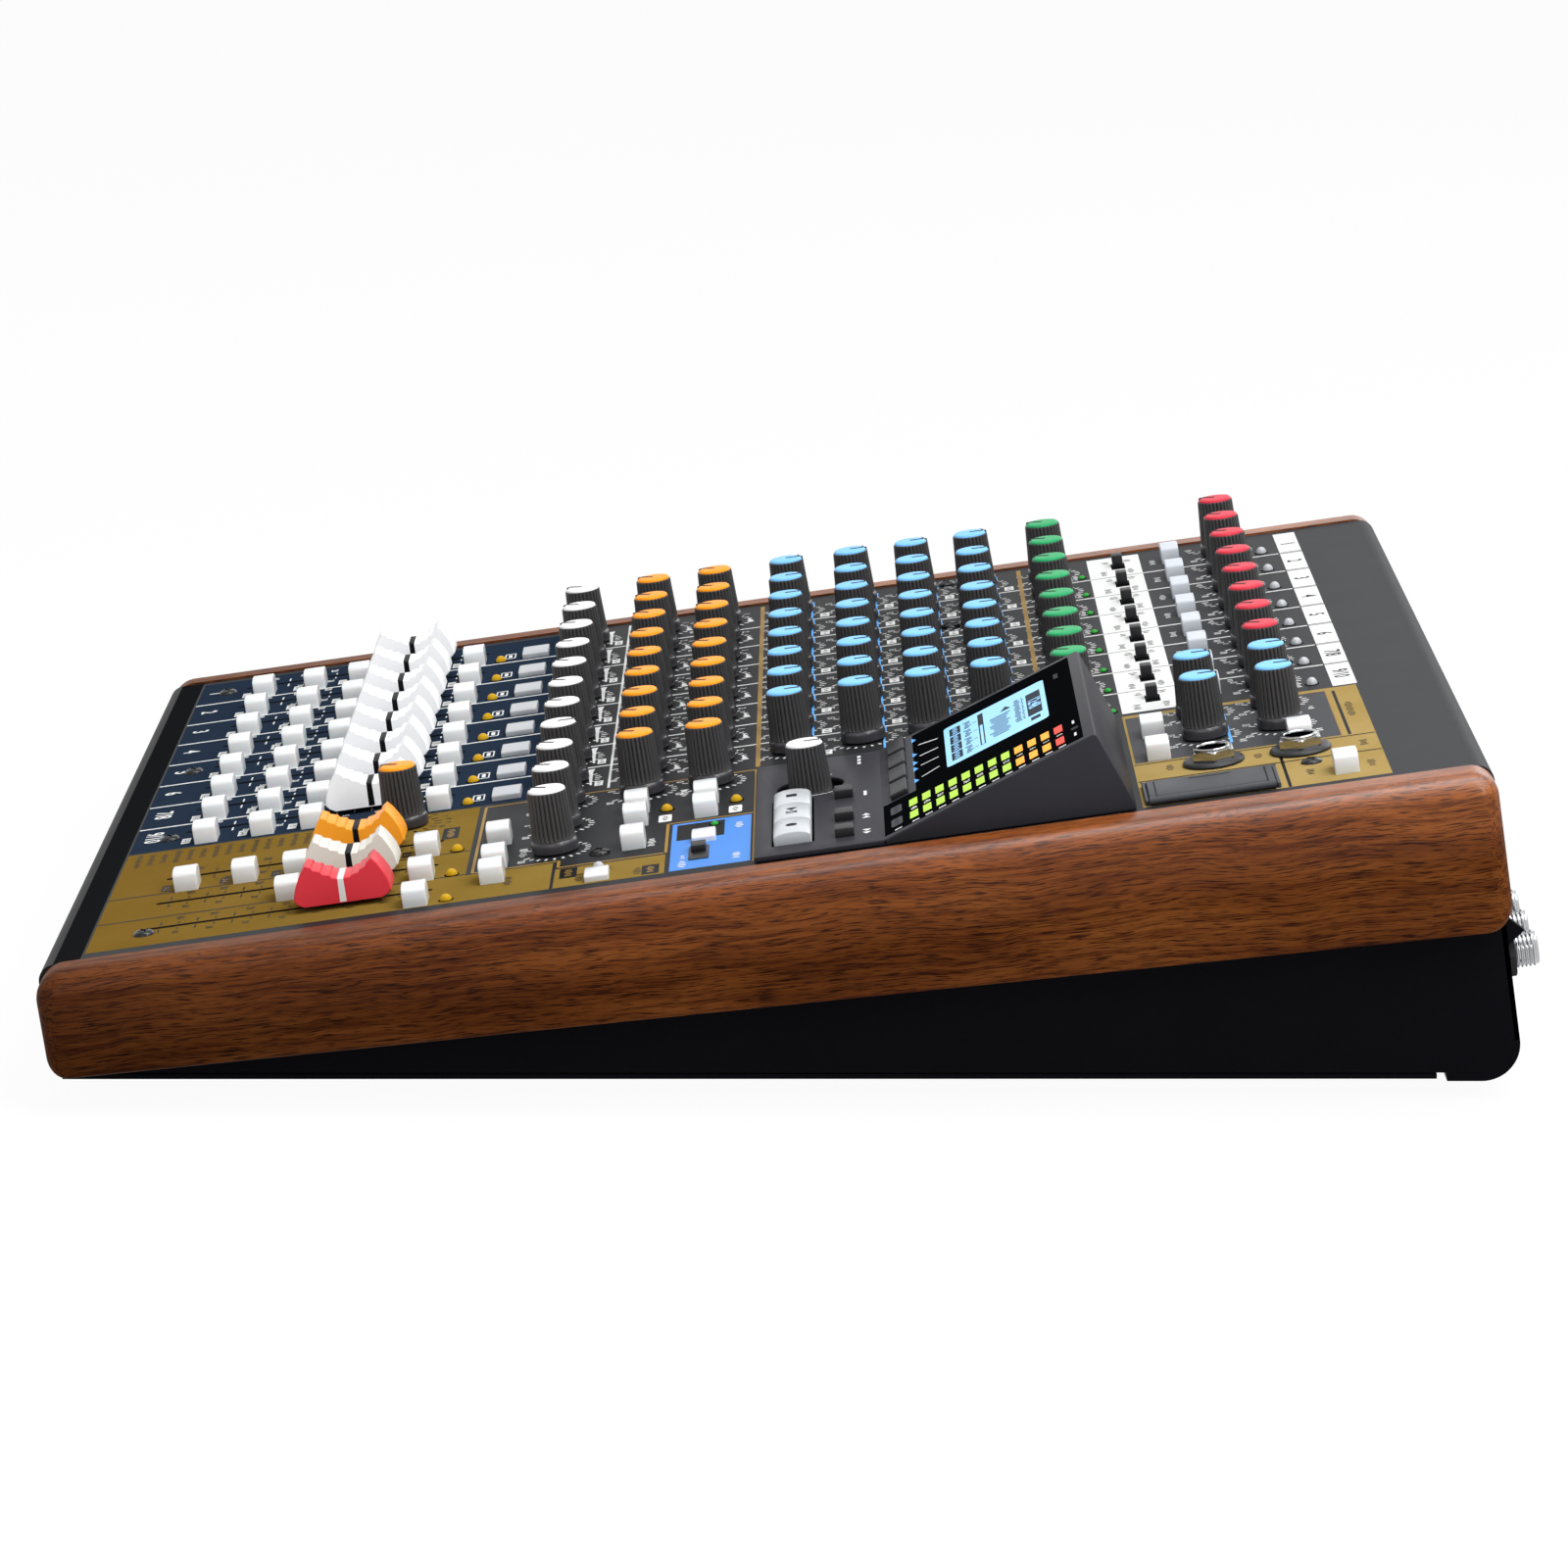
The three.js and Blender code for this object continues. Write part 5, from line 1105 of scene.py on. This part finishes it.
for i, sign in enumerate(("stop", "play", "record")):
    body = f"key_{sign}"
    data = shared(f"transport_{sign}", key_form(sign), ["key", "black"], 40.0)
    copy_at(f"transport_key_{sign}", data, 102.0 + i * 15.5, 7.8, body, [body])


# ---- Headphone sockets ----
def add_nut(form, radius, n0, n1, bore, mark=0, place=None, sides=48):
    """Six-sided nut with turned-down corners round a bore."""
    rings = []
    for n, share in ((n0, 0.94), (n0 + 0.25, 1.0), (n1 - 0.3, 1.0), (n1, 0.93)):
        ring = []
        for i in range(sides):
            angle = 2 * pi * i / sides
            corner = radius * cos(pi / 6) / cos(angle % (pi / 3) - pi / 6)
            ring.append((*polar(min(corner, radius * share), angle), n))
        rings.append(ring)
    form.rings(rings + [circle(bore, n1, sides)], mark, place, False, False)


jack = Form()
jack.tube([(7.6, 0.3), (7.6, 0.55), (7.3, 1.0), (6.7, 1.35), (4.5, 1.4)], 64, 1)
add_nut(jack, 5.8, 1.38, 3.7, 4.55)
jack.tube([(4.6, -3.0), (4.6, 4.2), (4.45, 4.36), (3.75, 4.36), (3.55, 4.2), (3.5, 3.9)], 56)
# The bore's near-black is painted shade inside the socket.
jack.tube([(3.5, 3.9), (3.5, -9.4), (0.05, -9.4)], 56, 2)
JACK = shared("phones_jack", jack, ["chrome", "switch", "hole"], 30.0)
for name, s in (("front", 111.125), ("rear", 132.475)):
    copy_at(f"phones_socket_{name}", JACK, PHONES_X, s, ROOT, [f"phones_jack_{name}"])


# ---- Card door and its frame ----
def lying(x, s, n):
    """Place of a turned form whose axis runs to the rear."""
    return Matrix.Translation((x, s, n)) @ Matrix.Rotation(-pi / 2, 4, "X")


door_frame = Form()
for x0, x1, s0, s1, top in (
    (134.1, 135.5, 92.5, 125.1, 1.3), (134.1, 153.4, 92.5, 93.4, 1.3), (134.1, 153.4, 124.2, 125.1, 1.3),
    (134.6, 153.6, 93.0, 95.5, 0.05), (134.6, 153.6, 122.1, 124.7, 0.05),
    (134.6, 136.4, 93.0, 124.7, 0.05), (151.8, 153.6, 93.0, 124.7, 0.05),
):
    door_frame.box(x0, x1, s0, s1, -0.5, top)
piece("card_door_frame", door_frame.rounded(0.4), ["door"])
LEAF = [
    (-18.3, -15.2), (-0.6, -15.2), (-0.6, 15.2), (-18.3, 15.2), (-18.3, 6.0), (-15.4, 4.6), (-15.4, -4.6),
    (-18.3, -6.0),
]
leaf = plate(LEAF, [], 0.55, 1.86).rounded(0.3, 2, 40.0)
# A black floor in the finger notch: painted shade of the recess.
leaf.box(-18.2, -15.3, -5.9, 5.9, 0.55, 1.1, 1)
for x0, x1, s0, s1 in ((-17.2, -1.4, -13.6, -13.2), (-17.2, -1.4, 13.2, 13.6), (-2.2, -1.9, -13.4, 13.4)):
    leaf.box(x0, x1, s0, s1, 1.8, 1.88, 1)
leaf.lathe([(0.88, 0), (0.88, 30.4)], 20, 0, lying(0, -15.2, 1.2))
data = shared("card_door_leaf", leaf, ["door", "black"], 40.0)
copy_at("card_door_visible", data, 154.2, 108.8, "card_door", ["card_door"])

# ---- Rear sockets, with profiles of (radius, height over the rear wall) ----
MIC_ROW, LINE_ROW = -23, -48.5
MIC_PLACES = [-138 + 30 * i for i in range(6)]
LINE_PLACES = [150 - 20 * i for i in range(8)]
INLET_X, ROCKER_X, DATA_X = -140, -112, -62
METAL, PLASTIC, SHADE = range(3)
MIC_RIM = [(11.3, -3), (11.3, 0.5), (11.0, 0.8), (9.8, 0.8), (9.4, 0.3), (9.4, -7.2)]
MIC_FLOOR = [(9.4, -7.2), (4.6, -7.2), (4.6, -6.4), (3.9, -6.4), (3.4, -8.7), (0.05, -8.7)]
PIN = [(0.9, -7.3), (0.9, -6.8), (0.5, -6.8), (0.5, -8.2), (0.05, -8.2)]
THREAD = [(4.35, -2), (4.35, 1.6)]
for k in range(5):
    base = 1.8 + k * 0.98
    THREAD += [(3.9, base), (3.95, base + 0.25), (4.4, base + 0.5), (4.4, base + 0.7)]
THREAD += [(3.95, 6.8), (3.95, 7.2), (3.8, 7.45), (3.6, 7.45), (3.5, 7.1), (3.5, 3.5)]
sockets = Form()
for x in MIC_PLACES:
    place = lying(x, REAR, MIC_ROW)
    sockets.tube(MIC_RIM, 64, PLASTIC, place)
    sockets.tube(MIC_FLOOR, 48, SHADE, place)
    for turn in (90, 210, 330):
        pin_x, pin_n = polar(6.9, radians(turn), x, MIC_ROW)
        sockets.tube(PIN, 16, METAL, lying(pin_x, REAR, pin_n))
for x in LINE_PLACES:
    place = lying(x, REAR, LINE_ROW)
    sockets.tube(THREAD, 40, METAL, place)
    sockets.tube([(3.5, 3.5), (3.5, -6.1), (0.05, -6.1)], 32, SHADE, place)
    add_nut(sockets, 6.4, 0.05, 1.8, 4.3, PLASTIC, place)
place = lying(INLET_X, REAR, LINE_ROW)
INLET = [(5.2, -2), (5.2, 0.4), (5.0, 0.6), (3.7, 0.6), (3.5, 0.3), (3.5, -8.0), (0.05, -8.0)]
sockets.tube(INLET, 40, PLASTIC, place)
sockets.tube([(0.8, -8.0), (0.8, -1.4), (0.5, -1.0), (0.05, -0.9)], 16, METAL, place)
for x0, x1, s0, s1, n0, n1, mark in (
    (-68, -56, -6, 0.6, -44.3, -43.1, METAL), (-68, -56, -6, 0.6, -53.9, -52.7, METAL),
    (-68, -66.8, -6, 0.6, -53.9, -43.1, METAL), (-57.2, -56, -6, 0.6, -53.9, -43.1, METAL),
    (-66.8, -57.2, -8.3, -8.1, -52.7, -44.3, SHADE), (-64.6, -59.4, -8, -0.6, -50.4, -46.6, PLASTIC),
):
    sockets.box(x0, x1, REAR + s0, REAR + s1, n0, n1, mark)
piece("rear_sockets", sockets, ["chrome", "socket", "hole"], ["rear_socket_board"], 30.0)

# ---- Chassis: side, front and rear walls, bend and foot flange ----
WALL_FOOT, FLANGE_FOOT, WALL_TOP, SHELL_TOP = 6.5, 4.4, -4.0, -1.6
FLANGE_END, SHELL_BEND = 155.0, 9.0
SHELL_HALF = BODY_HALF - 0.05
outline = [(-REAR, -22.0), (-REAR, level_n(-REAR, WALL_FOOT))]
outline += [(FLANGE_END, level_n(FLANGE_END, foot)) for foot in (WALL_FOOT, FLANGE_FOOT)]
bend_s = REAR - SHELL_BEND
bend_n = level_n(bend_s, FLANGE_FOOT + SHELL_BEND)
outline += arc(bend_s, bend_n, SHELL_BEND, -90 - degrees(SLOPE), 0, 20)
open_side = len(outline) - 1
outline += [(REAR, WALL_TOP), (REAR, SHELL_TOP), (-REAR, SHELL_TOP)]
count = len(outline)
shell = Form()
faces = [[i, (i + 1) % count, count + (i + 1) % count, count + i] for i in range(count) if i != open_side]
faces += [list(range(count))[::-1], list(range(count, 2 * count))]
shell.add([(x, s, n) for x in (-SHELL_HALF, SHELL_HALF) for s, n in outline], faces)

# The rear wall with its holes closes the open side
holes = [ring_of(x, MIC_ROW, 11.6, 40) for x in MIC_PLACES]
holes += [ring_of(x, LINE_ROW, 4.9, 40) for x in LINE_PLACES] + [ring_of(INLET_X, LINE_ROW, 5.5, 40)]
holes += [oblong(ROCKER_X, LINE_ROW, 9.2, 14.0), oblong(DATA_X, LINE_ROW, 12.6, 11.4)]
corners = [(-SHELL_HALF, bend_n), (SHELL_HALF, bend_n), (SHELL_HALF, WALL_TOP), (-SHELL_HALF, WALL_TOP)]
wall = plate(corners, holes, -SHEET, 0)
shell.add([(x, REAR + n, s) for x, s, n in wall.points], [face[::-1] for face in wall.faces])
for x0, x1, n0, n1 in (
    (-119.2, -117.6, -57.1, -39.9), (-106.4, -104.8, -57.1, -39.9),
    (-117.7, -106.3, -41.5, -39.9), (-117.7, -106.3, -57.1, -55.5),
):
    shell.box(x0, x1, REAR - 1, REAR + 1.18, n0, n1)
shell.across([(REAR - 0.6, -45.2), (REAR + 4.2, -41.6), (REAR - 0.6, -36.6)], 156.6, 158.9)
piece("chassis_shell", shell, ["chassis"], ["chassis"], 30.0)

# Power rocker, dished at the rear and tilted
section = [(-1.4, -5.95), (2.5, -5.95)]
section += [
    (2.5 - 1.15 * cos(pi * (share - 0.5)), -5.95 + 11.9 * share)
    for share in (0.15, 0.3, 0.5, 0.7, 0.85)
]
section += [(2.5, 5.95), (-1.4, 5.95), (-4.5, 2.9), (-4.5, -2.9)]
rocker = Form()
tilt = Matrix.Rotation(radians(7), 4, "X")
rocker.rings([[(x, s, n) for s, n in section] for x in (-4.15, 4.15)], 0, tilt)
data = shared("rocker_form", rocker.rounded(0.25, 2, 40.0), ["knob_ring"])
copy_at("power_switch_rocker", data, ROCKER_X, REAR, "power_rocker", ["power_rocker"], LINE_ROW)

# ---- Feet, set under the middles of the CAD ones ----
for corner in ("front_left", "front_right", "rear_left", "rear_right"):
    node = f"foot_{corner}"
    low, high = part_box(node)
    middle = (Vector(low) + Vector(high)) / 2
    form = Form()
    form.tube([(0.05, 0.02), (8.0, 0.02), (8.35, 0.3), (9.35, 4.2), (9.45, 4.98), (0.05, 4.98)], 48)
    data = shared(f"foot_form_{corner}", form, ["rubber"], 40.0, MM)
    set_down(f"rubber_{node}", data, ROOT, [node], Matrix.Translation((middle.x, middle.y, 0)))

# ---- CAD nodes that keep their shape get a finish ----
KEPT = {"bottom_cover": "chassis", "control_board": "board", "fader_board": "board", "display_board": "board"}
for node, key in KEPT.items():
    obj = bpy.data.objects[node]
    for spot in obj.material_slots:
        spot.material = MAT[key]
    if not obj.material_slots:
        obj.data.materials.append(MAT[key])


# ---- Floor, light and camera ----
def show(tree, output, share, lighting, seen):
    """A shader lights the scene, and a share of another meets rays from the eye, metal or glass."""
    path = tree.nodes.new("ShaderNodeLightPath").outputs
    rays = path["Is Camera Ray"]
    for kind in ("Glossy", "Transmission"):
        rays = wire(tree, "Math", {0: rays, 1: path[f"Is {kind} Ray"]}, operation="MAXIMUM")
    part = wire(tree, "Math", {0: rays, 1: share}, operation="MULTIPLY")
    mixed = wire(tree, "MixShader", {0: part, 1: lighting, 2: seen})
    tree.links.new(mixed, output.inputs["Surface"])


def area_light(name, location, size, power, target):
    """A rectangular light that is aimed at a target."""
    data = bpy.data.lights.new(name, "AREA")
    data.shape = "RECTANGLE"
    data.size, data.size_y = size
    data.energy = power
    lamp = bpy.data.objects.new(name, data)
    scene.collection.objects.link(lamp)
    lamp.location = location
    lamp.rotation_euler = (Vector(target) - Vector(location)).to_track_quat("-Z", "Y").to_euler()


scene = bpy.context.scene
floor_mesh = bpy.data.meshes.new("floor")
floor_mesh.from_pydata([(x, y, 0) for x, y in oblong(0, 0, 60, 60)], [], [[0, 1, 2, 3]])
floor = bpy.data.objects.new("floor", floor_mesh)
scene.collection.objects.link(floor)
pale, tree, matt = shader("pale_floor", 0.7, Base_Color=grey(0.8))[:3]
glow = wire(tree, "Emission", {"Color": grey(1), "Strength": 1.0})
show(tree, tree.nodes["Material Output"], 0.95, matt.outputs[0], glow)
floor_mesh.materials.append(pale)

area_light("overhead_light", (0.15, 0.4, 1.3), (0.55, 1.8), 13.5, (0.0, 0.08, 0.0))
area_light("edge_light", (0.05, 0.25, 1.3), (0.2, 1.6), 5.5, (0.1, 0.05, 0.0))
area_light("side_light", (0.62, 0.35, 0.75), (0.12, 0.9), 4.5, (0.17, 0.05, 0.06))
area_light("front_light", (1.5, -0.6, 0.8), (0.9, 0.9), 4, (0.0, 0.0, 0.04))
area_light("rear_light", (-1.3, 0.9, 0.9), (1.0, 0.8), 6, (0.0, 0.0, 0.05))

scene.world = scene.world or bpy.data.worlds.new("world")
scene.world.use_nodes = True
tree = scene.world.node_tree
tree.nodes.clear()
soft, plain = (wire(tree, "Background", {"Color": grey(1), "Strength": power}) for power in (0.38, 1.0))
show(tree, tree.nodes.new("ShaderNodeOutputWorld"), 1.0, soft, plain)
scene.view_settings.view_transform = "Standard"

camera_data = bpy.data.cameras.new("camera")
camera_data.lens = 141.9
camera_data.sensor_width = 36
camera_data.clip_start = 0.05
camera_data.clip_end = 100
camera = bpy.data.objects.new("camera", camera_data)
scene.collection.objects.link(camera)
camera.location = (1.5869, (9.78 + DECK_SHIFT) / 1000, 0.4060)
pitch, yaw, roll = (radians(angle) for angle in (12.955, -0.176, -0.064))
forward = Vector((-cos(pitch) * cos(yaw), cos(pitch) * sin(yaw), -sin(pitch)))
camera.rotation_mode = "QUATERNION"
camera.rotation_quaternion = (
    forward.to_track_quat("-Z", "Y") @ Matrix.Rotation(roll, 4, "Z").to_quaternion()
)
scene.camera = camera
